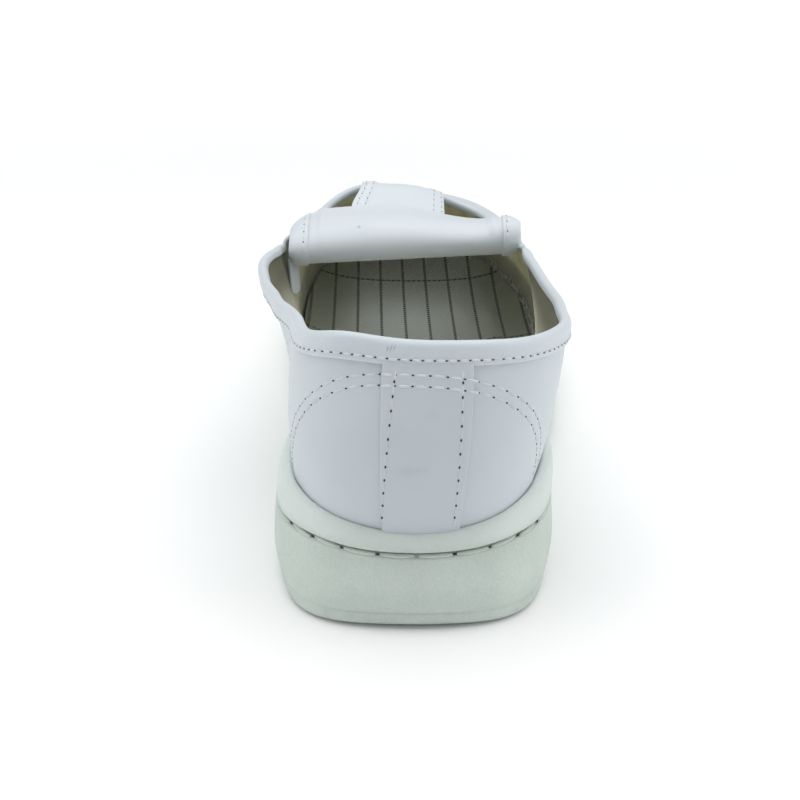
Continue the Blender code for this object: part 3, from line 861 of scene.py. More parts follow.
def throat_front(x):
    """Where the throat ends in front, at some way across."""
    across = abs((x - THROAT_MIDDLE[0]) / THROAT_HALVES[0])
    ahead = (1 - across ** THROAT_SQUARENESS) ** (1 / THROAT_SQUARENESS)
    return THROAT_MIDDLE[1] + THROAT_HALVES[1] * ahead


def plan_of(point):
    return np.array((point.x, point.y)) / MM - HEEL_SHIFT[:2]


print("throat ends in front at, mm:", THROAT_MIDDLE[1] + THROAT_HALVES[1])

# %% Throat notch
CROWN_LOWEST = 50.0
CROWN_BEGINS = 120.0
REAR_EDGE = 125.2
SNAP_REACH = (0.8, 1.35)


def is_crown(point):
    return point.z / MM > CROWN_LOWEST and plan_of(point)[1] > CROWN_BEGINS


def is_notch(point):
    return is_crown(point) and throat_reach(plan_of(point)) < 1


notch = [face for face in upper_bm.faces if is_notch(face.calc_center_median())]
bmesh.ops.delete(upper_bm, geom=notch, context="FACES")
snapped = 0
for vert in upper_bm.verts:
    if vert.is_boundary and is_crown(vert.co):
        plan = plan_of(vert.co)
        reach = throat_reach(plan)
        on_rear_edge = plan[1] < REAR_EDGE and reach > 1
        if SNAP_REACH[0] < reach < SNAP_REACH[1] and not on_rear_edge:
            moved = between(THROAT_MIDDLE, plan, 1 / reach)
            height = over_height(*moved)
            if height is not None:
                vert.co = world((*moved, height))
                snapped += 1
print("throat edge corners:", snapped)

# %% Corner behind the bar, and thickness
BEHIND_BAR_X = 20.0
BEHIND_BAR_Y = (119.0, 131.5)
BEHIND_BAR_Z = 63.2


def is_behind_bar(point):
    """In the outer rear corner of the crown, which the end of the instep bar covers."""
    x, y = plan_of(point)
    return x > BEHIND_BAR_X and BEHIND_BAR_Y[0] < y < BEHIND_BAR_Y[1] and point.z / MM > BEHIND_BAR_Z


behind_bar = [face for face in upper_bm.faces if is_behind_bar(face.calc_center_median())]
bmesh.ops.delete(upper_bm, geom=behind_bar, context="FACES")
upper = piece("upper_shell", upper_bm, (upper_leather, lining), ("upper",))
thicken(upper, UPPER_WALL, -1, lining=1)

# %% [markdown]
# ## Edges of the two windows
#
# Left and right of the strip the throat is open, and the leather is folded under along that edge.
# A soft roll along the cut, half sunk in it, looks like such a fold. A tube is a sheet too: its
# rows run round a circle at every point of a path.

# %% Paths and tubes
def runs_of(path):
    """How far along a path each of its points lies."""
    return np.concatenate(((0.0,), np.cumsum(np.linalg.norm(np.diff(path, axis=0), axis=1))))


def at_runs(places, runs, values):
    """Values at places along a path, read between its points."""
    return np.stack([np.interp(places, runs, column) for column in values.T], -1)


def along_path(path, pitch):
    """Points an even pitch apart along a path of points."""
    runs = runs_of(path)
    count = max(int(runs[-1] / pitch), 1)
    return at_runs((np.arange(count) + 0.5) * runs[-1] / count, runs, path)


def tube(path, up, radius, sides):
    """A round bar along a path."""
    along = unit(np.gradient(path, axis=0))
    side = unit(np.cross(along, up))
    upright = np.cross(side, along)
    turns = np.linspace(0, 2 * math.pi, sides + 1)[None, :, None]
    rings = np.cos(turns) * side[:, None] + np.sin(turns) * upright[:, None]
    bm = sheet(path[:, None] + radius * rings)
    close_ends(bm)
    return bm


print("paths and tubes are ready")

# %% Window edges
FOLD_RADIUS = 1.4
FOLD_SINK = 1.0
FOLD_SIDES = 12
FOLD_STEPS = 60
FOLD_EASING = 4
FOLD_START = 136.0
FOLD_PITCH = 1.2
FOLD_DIVE = 3.0
UPWARDS = np.array((0.0, 0.0, 1.0))
WINDOW_FRONTS = {"window_edge_inner": -14.5, "window_edge_outer": 9.0}
for name, front_x in WINDOW_FRONTS.items():
    share = abs(front_x - THROAT_MIDDLE[0]) / THROAT_HALVES[0]
    angles = np.linspace(0.0, math.acos(share ** (THROAT_SQUARENESS / 2)), FOLD_STEPS)
    plan = throat_outline(angles if front_x > THROAT_MIDDLE[0] else math.pi - angles)
    plan = along_path(plan[plan[:, 1] > FOLD_START], FOLD_PITCH)
    path = np.array([(x, y, over_height(x, y) - FOLD_SINK) for x, y in plan])
    path[:, 2] -= FOLD_DIVE * (1 - soft_step(path[:, 1], FOLD_START, FOLD_START + 2 * FOLD_DIVE))
    for _ in range(FOLD_EASING):
        path[1:-1] = (path[:-2] + 2 * path[1:-1] + path[2:]) / 4
    piece(name, tube(path, UPWARDS, FOLD_RADIUS, FOLD_SIDES), (upper_leather,))

# %% [markdown]
# ## Collar binding and back stay
#
# A tape is folded over the raw edge of the collar and sewn through. Its section is a flat loop
# that hangs on the wall, drawn once as pairs of how far below the edge and how far out of the wall,
# and carried round the collar. At both ends it is tucked in towards the wall. The back stay is a
# strip that covers the seam at the heel; its upper end goes under the tape and its lower end into
# the sole.

# %% Binding
BINDING_ENDS = (-5.0, 5.0)
BINDING_STEPS = 20
BINDING_SECTION = (
    (5.4, 0.1), (5.5, 0.6), (5.1, 0.95), (3.8, 1.0), (1.8, 1.05), (0.8, 0.95), (0.0, 0.5),
    (-0.5, -0.2), (-0.5, -1.1), (0.0, -1.8), (0.6, -2.05), (1.1, -2.1), (1.6, -2.1), (2.0, -2.05),
    (2.2, -1.8), (2.1, -1.4), (0.9, -1.4), (0.4, -0.7), (0.9, 0.1), (5.4, 0.1),
)
TUCK = 0.45
TUCK_OVER = 0.2


def rib_length(station):
    """Length of a rib, for sizes in millimetres along it."""
    return np.linalg.norm(edge(station) - foot(station), axis=-1)


def hung(station, below, out):
    """A point below the collar's edge, or above it, and out of the wall."""
    rise = 1 - np.maximum(below, 0.0) / rib_length(station)
    point, normal, up = wall_frame(station, rise)
    return point + np.asarray(out)[..., None] * normal + np.maximum(-below, 0.0)[..., None] * up


collar_stations = np.linspace(*BINDING_ENDS, int((BINDING_ENDS[1] - BINDING_ENDS[0]) * BINDING_STEPS))
section_below, section_out = np.array(BINDING_SECTION).T
station_grid, below_grid = np.meshgrid(collar_stations, section_below, indexing="ij")
tuck = 1 - TUCK * soft_step(np.abs(station_grid), BINDING_ENDS[1] - TUCK_OVER, BINDING_ENDS[1])
out_grid = (section_out + UPPER_WALL / 2) * tuck - UPPER_WALL / 2
binding_bm = sheet(hung(station_grid, below_grid * tuck, out_grid))
close_ends(binding_bm)
binding = piece("collar_tape", binding_bm, (binding_leather,), ("collar_binding",))
smoothed(binding, 1)

# %% Back stay
STAY_MIDDLE = 0.04
STAY_HALF = 0.415
STAY_OUT = 0.1
STAY_THICK = 0.85
STAY_ROUND = 0.3
STAY_COLUMNS = 18
STAY_ROWS = 56
STAY_UNDER_TAPE = 4.4
STAY_IN_SOLE = 0.06
stay_stations = np.linspace(STAY_MIDDLE - STAY_HALF, STAY_MIDDLE + STAY_HALF, STAY_COLUMNS + 1)[:, None]
stay_low = rim_rise(stay_stations) - STAY_IN_SOLE
stay_high = 1 - STAY_UNDER_TAPE / rib_length(stay_stations)
stay_rises = between(stay_low, stay_high, np.linspace(0, 1, STAY_ROWS + 1)[None, :])
stay_grid = np.broadcast_to(stay_stations, stay_rises.shape)
stay_points, stay_normals, _ = wall_frame(stay_grid, stay_rises)
stay_bm = sheet(stay_points + STAY_OUT * stay_normals)
stay = piece("heel_stay", stay_bm, (stay_leather,), ("back_stay",))
thicken(stay, STAY_THICK, 1)
round_off(stay, STAY_ROUND)

# %% [markdown]
# ## Moulded sole
#
# The sole is one foamed piece from a mould: bars under it, a full side with the mould's line low on
# it, a stitch groove, and a rim that is glued to the upper. One section, drawn from the middle of
# the underside round to the middle of the cup, is carried round the foot line. At the two heel
# corners the side stands out further, which makes the heel squarer. On the flanks of the heel the
# rim is wider and flush with the side, so each row of groove and rim has a second size there.
# Subdivision rounds the corners of the section, and the bars are then cut with boxes.

# %% Underside and side of the sole
HEEL_BEVEL_END = 8.0
HEEL_BEVEL_RISE = 0.7
ARCH = (80.0, 142.0)
ARCH_RISE = 3.5
SPRING = (198.0, 265.0)
SPRING_RISE = 13.0
SOLE_STEPS = 6
RINGS = (0.4, 0.75, 0.95)
# Columns: place, out, up.
SIDE = (
    ("edge of the tread", 4.0, 0.0),
    ("start of the corner", 5.2, 0.2),
    ("corner", 6.2, 1.2),
    ("above the corner", 6.6, 2.4),
    ("tread line, below", 6.8, 3.5),
    ("tread line, in it", 6.35, 3.95),
    ("tread line, above", 6.8, 4.4),
    ("foot of the side", 7.2, 5.2),
    ("low on the side", 7.7, 7.2),
    ("fullest place", 8.0, 9.5),
)
SLIMMER = 1.6
SLIMMER_FROM = (45.0, 100.0)
# Columns: station, half width, how much further out.
HEEL_CORNERS = ((1.1, 0.52, 3.4), (18.9, 0.52, 3.8))
CORNER_KEPT = 0.45


def underside(y):
    """Height of the sole's underside along the shoe."""
    heel = HEEL_BEVEL_RISE * np.clip((HEEL_BEVEL_END - y) / HEEL_BEVEL_END, 0, None) ** 2
    arch = ARCH_RISE * np.sin(math.pi * np.clip((y - ARCH[0]) / (ARCH[1] - ARCH[0]), 0, 1)) ** 2
    spring = SPRING_RISE * np.clip((y - SPRING[0]) / (SPRING[1] - SPRING[0]), 0, None) ** 2
    return heel + arch + spring


def middle(station, height):
    """Points on the middle line across from stations, at a height that depends on y."""
    y = np.clip((foot(station)[..., 1] + foot(STATIONS - station)[..., 1]) / 2, *MIDDLE_ENDS)
    return joined(middle_x(y), y, height(y))


sole_stations = np.arange(STATIONS * SOLE_STEPS + 1) / SOLE_STEPS
sole_line, sole_away = foot(sole_stations), outward(sole_stations)
slimmer = SLIMMER * soft_step(sole_line[:, 1], *SLIMMER_FROM)
fuller = sum(further * mound(turn_from(sole_stations, corner) / half_width)
             for corner, half_width, further in HEEL_CORNERS)
sides = []
for _, out, up in SIDE:
    share = between(1, CORNER_KEPT, up / SIDE[-1][2])
    point = sole_line + (out - slimmer + share * fuller)[:, None] * sole_away
    point[:, 2] = underside(point[:, 1]) + up
    sides.append(point)
centre = middle(sole_stations, underside)
flats = [centre]
for share in RINGS:
    point = between(centre, sides[0], share)
    point[:, 2] = underside(point[:, 1])
    flats.append(point)
print("sole rows up to the fullest place:", len(flats) + len(sides))

# %% Groove, rim and cup
# Columns: place, above the groove, out, out on the flanks.
GROOVE = (
    ("top of the side", -2.4, 4.6, 7.2),
    ("ledge", -1.1, 4.35, 6.9),
    ("ledge edge", -0.5, 3.7, 6.3),
    ("slit, below", -0.3, 2.2, 3.6),
    ("slit, above", 0.25, 2.1, 3.5),
    ("lip edge", 0.55, 3.2, 5.7),
    ("lip", 1.3, 4.1, 6.1),
)
# Columns: place, share of the way from the lip to the rim's top, out, out on the flanks.
RIM = (
    ("rim face", 0.20, 4.5, 5.5),
    ("rim shoulder", 0.45, 4.0, 4.8),
    ("rim roll", 0.70, 2.9, 4.1),
    ("rim top", 0.90, 1.6, 3.0),
    ("rim inner edge", 1.0, 0.3, 0.6),
    ("against the upper", 0.85, -0.3, -0.3),
)
FLANK_BEGINS = (0.9, 1.8)
FLANK_ENDS = (3.8, 5.5)
CUP_RING = 0.25


def beside_wall(station, height, out):
    """Points at a height, out from the upper's wall."""
    point = wall(station, rise_at(station, height)) + out[..., None] * outward(station)
    point[..., 2] = height
    return point


def flank(station):
    """1 on the flanks of the heel, where side and rim are flush, and 0 at the back and in front."""
    from_heel = np.abs(turn_from(station, 0.0))
    return soft_step(from_heel, *FLANK_BEGINS) * (1 - soft_step(from_heel, *FLANK_ENDS))


sole_groove, sole_rim = groove_height(sole_line[:, 1]), rib(sole_stations, "rim_z")[0]
sole_lip = sole_groove + GROOVE[-1][1]
levels = [(sole_groove + above, out, flank_out) for _, above, out, flank_out in GROOVE]
levels += [(between(sole_lip, sole_rim, share), out, flank_out) for _, share, out, flank_out in RIM]
rims = []
for height, out, flank_out in levels:
    rims.append(beside_wall(sole_stations, height, between(out, flank_out, flank(sole_stations))))
cup_foot = wall(sole_stations, 0.0) + CLEARANCE * sole_away
cup_foot[:, 2] = floor_height(sole_line[:, 1])
cup_middle = middle(sole_stations, floor_height)
cup_ring = between(cup_middle, cup_foot, CUP_RING)
cup_ring[:, 2] = floor_height(cup_ring[:, 1])
sole_rows = (*flats, *sides, *rims, cup_foot, cup_ring, cup_middle)
print("sole section rows:", len(sole_rows))

# %% Sole foam
FOAM_COLOUR = (0.655, 0.73, 0.675)
FOAM_SHADE = (0.58, 0.65, 0.60)
FOAM_BAND = (0.3, 0.7)
RIM_LIT_BACK = (0.635, 0.70, 0.665)
RIM_LIT_SIDES = (0.725, 0.79, 0.76)
RIM_LIT_SIDES_FROM = (9.0, 27.0)
RIM_LIT_HEIGHTS = (21.0, 24.5)
SPECKLE = 0.7
SPECKLE_DETAIL = 3.0
SPECKLE_HEIGHT = 0.24
CLOUD = 14.0
CLOUD_HEIGHT = 0.1
UNDER_SHADE_COLOUR = (0.42, 0.43, 0.38)
UNDER_SHADE_HEIGHTS = (0.5, 6.0)
UNDER_SHADE_LUMPS = 3.0
UNDER_SHADE_DETAIL = 4.0
UNDER_SHADE_BAND = (0.45, 0.75)
UNDER_SHADE_MOST = 0.35
foam = Finish("sole_foam", {"Specular IOR Level": 0.35})
foam_place = foam.place()
foam_x, _, foam_z = foam.axes(foam_place)
speckle = foam.noise(foam_place, SPECKLE, SPECKLE_DETAIL)
cloud = foam.noise(foam_place, CLOUD)
foam_base = foam.blend(foam.soft(speckle * 0.5 + cloud * 0.5, *FOAM_BAND), FOAM_SHADE, FOAM_COLOUR)
# Painted light: the rim's colour is lighter than the foam where its roll looks up, and lighter still on the
# flanks of the heel, where the side boxes light it.
rim_painted_light = foam.blend(foam.soft(abs(foam_x), *RIM_LIT_SIDES_FROM), RIM_LIT_BACK, RIM_LIT_SIDES)
foam_base = foam.blend(foam.soft(foam_z, *RIM_LIT_HEIGHTS), foam_base, rim_painted_light)
# Painted shade: the foam's colour darkens in lumps over its lowest few millimetres, where the side curves
# under.
under_shade_lumps = foam.soft(foam.noise(foam_place, UNDER_SHADE_LUMPS, UNDER_SHADE_DETAIL), *UNDER_SHADE_BAND)
under_shade = (1 - foam.soft(foam_z, *UNDER_SHADE_HEIGHTS)) * under_shade_lumps * UNDER_SHADE_MOST
foam.wear({"Base Color": foam.blend(under_shade, foam_base, UNDER_SHADE_COLOUR), "Roughness": 0.55 + 0.2 * speckle})
foam.raise_by(speckle * SPECKLE_HEIGHT + cloud * CLOUD_HEIGHT)
sole = piece("moulded_sole", sheet(np.stack(sole_rows, axis=1)), (foam,), ("outsole",))
smoothed(sole, 2)

# %% Tread bars
LUG_WIDTH = 3.0
LUG_DEPTH = 2.0
LUG_MARGIN = 9.0
LUG_PITCH = 12.0
LUG_ROWS = ((22.0, 5), (152.0, 8))
cutter_bm = bmesh.new()
for first, count in LUG_ROWS:
    for number in range(count):
        y = first + LUG_PITCH * number
        across = sole_line[np.abs(sole_line[:, 1] - y) < LUG_PITCH, 0]
        low, high = across.min() + LUG_MARGIN, across.max() - LUG_MARGIN
        bar = bmesh.ops.create_cube(cutter_bm, size=1.0)["verts"]
        bmesh.ops.scale(cutter_bm, verts=bar, vec=Vector((high - low, LUG_WIDTH, 2 * LUG_DEPTH)) * MM)
        place = world(((low + high) / 2, y, float(underside(np.array(y)))))
        bmesh.ops.translate(cutter_bm, verts=bar, vec=Vector(place))
cutter_mesh = bpy.data.meshes.new("tread_cutter")
cutter_bm.to_mesh(cutter_mesh)
cutter_bm.free()
cutter = bpy.data.objects.new("tread_cutter", cutter_mesh)
scene.collection.objects.link(cutter)
bars = sole.modifiers.new("bars", "BOOLEAN")
bars.object = cutter
bars.operation = "DIFFERENCE"
bars.solver = "EXACT"
settle(sole)
bpy.data.objects.remove(cutter)
bpy.data.meshes.remove(cutter_mesh)
print("sole faces with bars:", len(sole.data.polygons))

# %% [markdown]
# ## Instep strap
#
# The bar is a band of leather whose rear edge is rolled down and hemmed. It rests on the foot a
# little lower than the vamp, which is the sag. A strip runs from its middle to the vamp and is sewn
# down on it, with a stitched, raised band along each side. Each column of the grid is one section of
# the bar from the hem forward; the middle columns go on into the strip.

# %% Front of the bar
STRAP_ENDS = (-37.5, 34.6)
# Columns: across, along and up.
BAR_FRONT = (
    (-37.5, 128.0, 69.0), (-34.0, 131.5, 70.4), (-29.0, 136.0, 71.4), (-22.5, 139.0, 71.7),
    (-5.0, 139.5, 71.4), (11.0, 139.5, 69.2), (17.0, 139.5, 68.2), (25.0, 138.0, 68.1),
    (30.5, 135.0, 68.7), (34.6, 132.5, 67.8),
)
BAR_ABOVE_VAMP = 2.2
ON_VAMP_REACH = (0.94, 1.06)
CROWN_REAR = 124.5
bar_front_curve = Curve([row[0] for row in BAR_FRONT], [row[1:] for row in BAR_FRONT])


def bar_front(x):
    """Where the bar ends in front, and how high: never below the vamp that it is sewn to."""
    y, z = bar_front_curve.columns(np.array(x))
    on_vamp = soft_step(throat_reach(np.array((x, y))), *ON_VAMP_REACH)
    below_vamp = max(over_height(x, max(y, CROWN_REAR)) + BAR_ABOVE_VAMP - z, 0.0)
    return y, z + on_vamp * below_vamp


print("bar front in the middle, mm:", np.round(bar_front(0.0), 1))

# %% Section of the bar
BAR_TOP_RISE = (-0.3, 1.7)
BAR_BEND = 132.0
ROLL_BEHIND_FRONT = 2.0
BAR_REAR_INNER = np.array((114.0, 58.9))
BAR_REAR_OUTER = np.array((125.2, 59.0))
END_ROUND = 4.5
END_LEAST = 0.70
HEM_RADIUS = (4.0, 5.0)
HEM_TURN = math.radians(105)
HEM_ROWS = 9
ROLL_ROWS = 16
BAND_ROWS = 6


def bar_section(x):
    """Points of the bar from the turned hem over the roll to the front edge."""
    front, height = bar_front(x)
    bend = min(BAR_BEND, front - ROLL_BEHIND_FRONT)
    share = (x - STRAP_ENDS[0]) / (STRAP_ENDS[1] - STRAP_ENDS[0])
    top = height + between(*BAR_TOP_RISE, share ** 2)
    radius = between(*HEM_RADIUS, share)
    rear_y, rear_z = between(BAR_REAR_INNER, BAR_REAR_OUTER, share)
    rear_z = rear_z + radius
    turned = math.pi + HEM_TURN * (1 - np.arange(HEM_ROWS) / HEM_ROWS)
    hem = joined(x, rear_y + radius * (1 + np.cos(turned)), rear_z + radius * np.sin(turned))
    rolled = math.pi / 2 * np.arange(ROLL_ROWS) / ROLL_ROWS
    roll = joined(x, between(rear_y, bend, 1 - np.cos(rolled)), between(rear_z, top, np.sin(rolled)))
    ahead = np.arange(BAND_ROWS + 1) / BAND_ROWS
    band = joined(x, between(bend, front, ahead), between(top, height, ahead ** 2))
    points = np.concatenate((hem, roll, band))
    from_end = min(x - STRAP_ENDS[0], STRAP_ENDS[1] - x)
    if from_end < END_ROUND:
        rounding = between(END_LEAST, 1, math.sqrt(1 - (1 - max(from_end, 0.0) / END_ROUND) ** 2))
        heart = np.array((x, (rear_y + bend) / 2, (rear_z + top) / 2))
        points = between(heart, points, rounding)
    return points


print("points of a section:", len(bar_section(0.0)))

# %% Strip in front of the bar
STRIP_AT_BAR = (-19.0, 11.0)
STRIP_AT_VAMP = (-16.0, 11.0)
STRIP_LAP = 6.0
STRIP_ROWS = 18
STRIP_NARROWED = 0.5
STRIP_OVER_VAMP = 0.6
STRIP_LIFTS = (148.0, 158.0)
SAG_FADES = (139.5, 154.0)
LEFT_BAND = (5.5, 0.5)
RIGHT_BAND = (5.0, 0.4)
BAND_SHOULDER = 0.9
BANDS_RISEN = 0.12


def strip_height(x, y):
    """Height of the strip, from the bar's front up to the vamp."""
    front, height = bar_front(x)
    sag = over_height(x, front) - height
    on_vamp = STRIP_OVER_VAMP * soft_step(y, *STRIP_LIFTS)
    return over_height(x, y) - sag * (1 - soft_step(y, *SAG_FADES)) + on_vamp


def band_relief(from_side, width, height):
    """How far a stitched band stands up along one side of the strip."""
    return height * (1 - soft_step(from_side, width - BAND_SHOULDER, width))


def strip_point(front, across, share):
    """A point of the strip, some way across it and some share of the way from the bar to its end."""
    left = between(STRIP_AT_BAR[0], STRIP_AT_VAMP[0], soft_step(share, 0.0, STRIP_NARROWED))
    right = between(STRIP_AT_BAR[1], STRIP_AT_VAMP[1], share)
    x = between(left, right, across)
    y = between(front, throat_front(x) + STRIP_LAP, share)
    bands = band_relief(x - left, *LEFT_BAND) + band_relief(right - x, *RIGHT_BAND)
    return x, y, strip_height(x, y) + bands * soft_step(share, 0.0, BANDS_RISEN)


print("strip ends, mm:", np.round(strip_point(bar_front(0.0)[0], 0.5, 1.0), 1))

# %% Strap
STRAP_THICK = 1.4
STRAP_ROUND = 0.4
WING_COLUMNS = 26
STRIP_COLUMNS = 34
bar_rows = HEM_ROWS + ROLL_ROWS + BAND_ROWS
bar_x = np.concatenate((
    np.linspace(STRAP_ENDS[0], STRIP_AT_BAR[0], WING_COLUMNS, endpoint=False),
    np.linspace(*STRIP_AT_BAR, STRIP_COLUMNS, endpoint=False),
    np.linspace(STRIP_AT_BAR[1], STRAP_ENDS[1], WING_COLUMNS + 1),
))
strap_points = np.zeros((len(bar_x), bar_rows + STRIP_ROWS + 1, 3))
for column, x in enumerate(bar_x):
    strap_points[column, :bar_rows + 1] = bar_section(x)
    front, _ = bar_front(x)
    across = np.clip((x - STRIP_AT_BAR[0]) / (STRIP_AT_BAR[1] - STRIP_AT_BAR[0]), 0.0, 1.0)
    for row in range(1, STRIP_ROWS + 1):
        strap_points[column, bar_rows + row] = strip_point(front, across, row / STRIP_ROWS)


def is_strap(column, row):
    return row < bar_rows or WING_COLUMNS <= column < WING_COLUMNS + STRIP_COLUMNS


strap = piece("strap", sheet(strap_points, is_strap), (strap_leather,), ("instep_strap",))
thicken(strap, STRAP_THICK, -1)
round_off(strap, STRAP_ROUND)

# %% Strap tabs
TAB_WIDTH = 5.6
TAB_COLUMNS = 8
TAB_OUT = 0.1
TAB_THICK = 0.4
TAB_ROUND = 0.18
TABS = (
    ("tab_inner", "strap_tab_inner", STRAP_ENDS[0]),
    ("tab_outer", "strap_tab_outer", STRAP_ENDS[1] - TAB_WIDTH),
)
tab_faces = {}
for name, node, first_x in TABS:
    tab_x = first_x + TAB_WIDTH * np.arange(TAB_COLUMNS + 1) / TAB_COLUMNS
    tab_points = np.array([bar_section(x) for x in tab_x])
    normals = face_normals(tab_points)
    tab_faces[name] = tab_points + (TAB_OUT + TAB_THICK) * normals, normals
    tab = piece(name, sheet(tab_points + TAB_OUT * normals), (strap_leather,), (node,))
    thicken(tab, TAB_THICK, 1)
    round_off(tab, TAB_ROUND)

# %% [markdown]
# ## Insole cloth
#
# The bed of foam stays as the CAD has it. On it lies a cover of grey white twill, a little wider
# than the bed, so its edges curl up along the wall. Black conductive threads run lengthwise at even
# steps, and one now and then across; the finish draws them as dashes, because each dives under the
# weave and comes up again. The cloth's colour is painted darker along its edges, as painted shade,
# and it is also darker towards the heel.

# %% Twill
TWILL_COLOUR = (1.0, 1.0, 1.0)
TWILL_SHADE = (0.66, 0.77, 0.75)
TWILL_PITCH = 2.8
TWILL_LEAN = 2.0
CROSS_PITCH = 0.35 * TWILL_PITCH
CLOTH_DARK_COLOUR = (0.50, 0.535, 0.435)
CLOTH_MIDDLE = 2.0
EDGE_SHADE_FROM = (14.0, 34.0)
DARKER_TO_HEEL = (150.0, 205.0)
DARKER_TO_HEEL_MOST = 0.5
twill = Finish("insole_twill", {"Roughness": 0.9, "Specular IOR Level": 0.2})
twill.wear({"Sheen Weight": 0.6, "Sheen Roughness": 0.5})
twill_x, twill_y, _ = twill.axes(twill.place())
rib_wave = ((twill_x * TWILL_LEAN - twill_y) * (2 * math.pi / TWILL_PITCH)).sine()
cross_wave = ((twill_x + twill_y) * (2 * math.pi / CROSS_PITCH)).sine()
cloth_base = twill.blend(twill.soft(rib_wave + 0.5 * cross_wave, -1.0, 1.0), TWILL_SHADE, TWILL_COLOUR)
from_middle = abs(twill_x - CLOTH_MIDDLE)
# Painted shade: the cloth's colour darkens along its edges. It is also darker towards the heel.
darker_to_heel = DARKER_TO_HEEL_MOST - DARKER_TO_HEEL_MOST * twill.soft(twill_y, *DARKER_TO_HEEL)
edge_shade_and_darker_heel = twill.soft(from_middle, *EDGE_SHADE_FROM).most(darker_to_heel)
cloth_base = twill.blend(edge_shade_and_darker_heel, cloth_base, CLOTH_DARK_COLOUR)
print("twill pitch, mm:", TWILL_PITCH)

# %% Conductive threads
BLACK_THREAD = (0.025, 0.025, 0.025)
THREAD_STEP = 8.73
THREAD_START = -27.4
THREAD_SLANT = 0.0214
THREAD_SLANT_FROM = 176.0
THREAD_HALF = 0.6
THREAD_CORE = 0.6
CROSS_STEP = 61.0
CROSS_START = 163.0
CROSS_BOW = 0.003
CROSS_HALF = 0.75
DASH = 2.0
DASH_GAP = (0.17, 0.25)
DIVED = 0.45
COMES_UP = 0.5
RIB_HEIGHT = 0.03
CROSS_HEIGHT = 0.015
BLACK_HEIGHT = 0.06


def thread_mask(offset, step, along, half):
    """1 on the dashes of threads a step apart, less between the dashes and 0 half a width away."""
    from_thread = abs((offset / step + 0.5).fraction() - 0.5) * step
    on_thread = 1 - twill.soft(from_thread, half * THREAD_CORE, half)
    dash = twill.soft(abs((along / DASH).fraction() - 0.5), *DASH_GAP)
    return on_thread * (DIVED + COMES_UP * dash)


slant = (twill_y - THREAD_SLANT_FROM) * THREAD_SLANT
lengthwise = thread_mask(twill_x - THREAD_START + slant, THREAD_STEP, twill_y, THREAD_HALF)
bow = from_middle * from_middle * CROSS_BOW
crosswise = thread_mask(twill_y - CROSS_START - bow, CROSS_STEP, twill_x, CROSS_HALF)
threads_on_cloth = lengthwise.most(crosswise)
twill.wear({"Base Color": twill.blend(threads_on_cloth, cloth_base, BLACK_THREAD)})
twill.raise_by(rib_wave * RIB_HEIGHT + cross_wave * CROSS_HEIGHT + threads_on_cloth * BLACK_HEIGHT)
print("thread step, mm:", THREAD_STEP)

# %% Foam of the bed
def mottled(name, constants, lumps, colour, shade):
    """A plain finish whose colour drifts between two colours in lumps, in millimetres."""
    finish = Finish(name, constants)
    drift = finish.noise(finish.place(), lumps)
    finish.wear({"Base Color": finish.blend(drift, colour, shade)})
    return finish


bed_foam = mottled("bed_foam", {"Roughness": 0.9}, lumps=2.0,
                   colour=(0.55, 0.55, 0.5), shade=(0.62, 0.62, 0.58))
bed = bpy.data.objects["insole"]
bed.data.materials.clear()
bed.data.materials.append(bed_foam.material)
print("bed faces:", len(bed.data.polygons))

# %% Cloth on the bed
INSOLE_THICK = 3.2
CLOTH_THICK = 0.6
CLOTH_CURL = (7.0, 7.0, 7.0, 6.0, 4.0, 2.5, 2.0, 2.0, 2.5, 2.5,
              2.5, 2.5, 3.0, 4.5, 7.0, 8.5, 9.0, 9.0, 8.0, 7.0)
CLOTH_STEPS = 8
CLOTH_ROWS = 30
CLOTH_OVER_BED = 0.25
CLOTH_OFF_WALL = 0.8
CURL_POWER = 4
# Columns: place, x, y, half width, half length, lean, height.
CLOTH_WAVES = (
    ("ridge by the outer edge", 29.5, 184.0, 3.0, 18.0, -0.06, 1.6),
    ("ridge further in", 19.5, 188.0, 2.8, 16.0, -0.06, 0.8),
    ("swell under the arch", -18.0, 165.0, 7.0, 30.0, 0.02, 0.7),
)
curl_curve = Curve(round_places, [CLOTH_CURL[place % STATIONS] for place in round_places])


def bed_top(y):
    return floor_height(y) + CLEARANCE + INSOLE_THICK


def cloth_edge(station):
    """The curled edge of the cloth along the inside of the wall."""
    height = bed_top(foot(station)[..., 1]) + curl_curve(np.mod(station, STATIONS))
    point = wall(station, rise_at(station, height)) - (UPPER_WALL + CLOTH_OFF_WALL) * outward(station)
    point[..., 2] = height
    return point


cloth_stations = np.arange(STATIONS * CLOTH_STEPS + 1) / CLOTH_STEPS
edge_line, middle_line = cloth_edge(cloth_stations), middle(cloth_stations, bed_top)
shares = np.linspace(1, 0, CLOTH_ROWS + 1)[None, :, None]
cloth_points = between(middle_line[:, None], edge_line[:, None], shares)
cloth_x, cloth_y = cloth_points[..., 0], cloth_points[..., 1]
curl = (edge_line[:, 2] - bed_top(edge_line[:, 1]))[:, None] * shares[..., 0] ** CURL_POWER
waves = np.zeros_like(cloth_x)
for _, x, y, half_width, half_length, lean, height in CLOTH_WAVES:
    along = cloth_y - y
    across = cloth_x - x - lean * along
    waves += height * mound(across / half_width, along / half_length)
cloth_points[..., 2] = bed_top(cloth_y) + CLOTH_OVER_BED + curl + waves
cloth_bm = sheet(cloth_points)
cloth_area = sum(face.calc_area() for face in cloth_bm.faces)
cloth = piece("insole_cloth", cloth_bm, (twill,))
thicken(cloth, CLOTH_THICK, 1)
print("cloth area, m2:", round(cloth_area, 5))
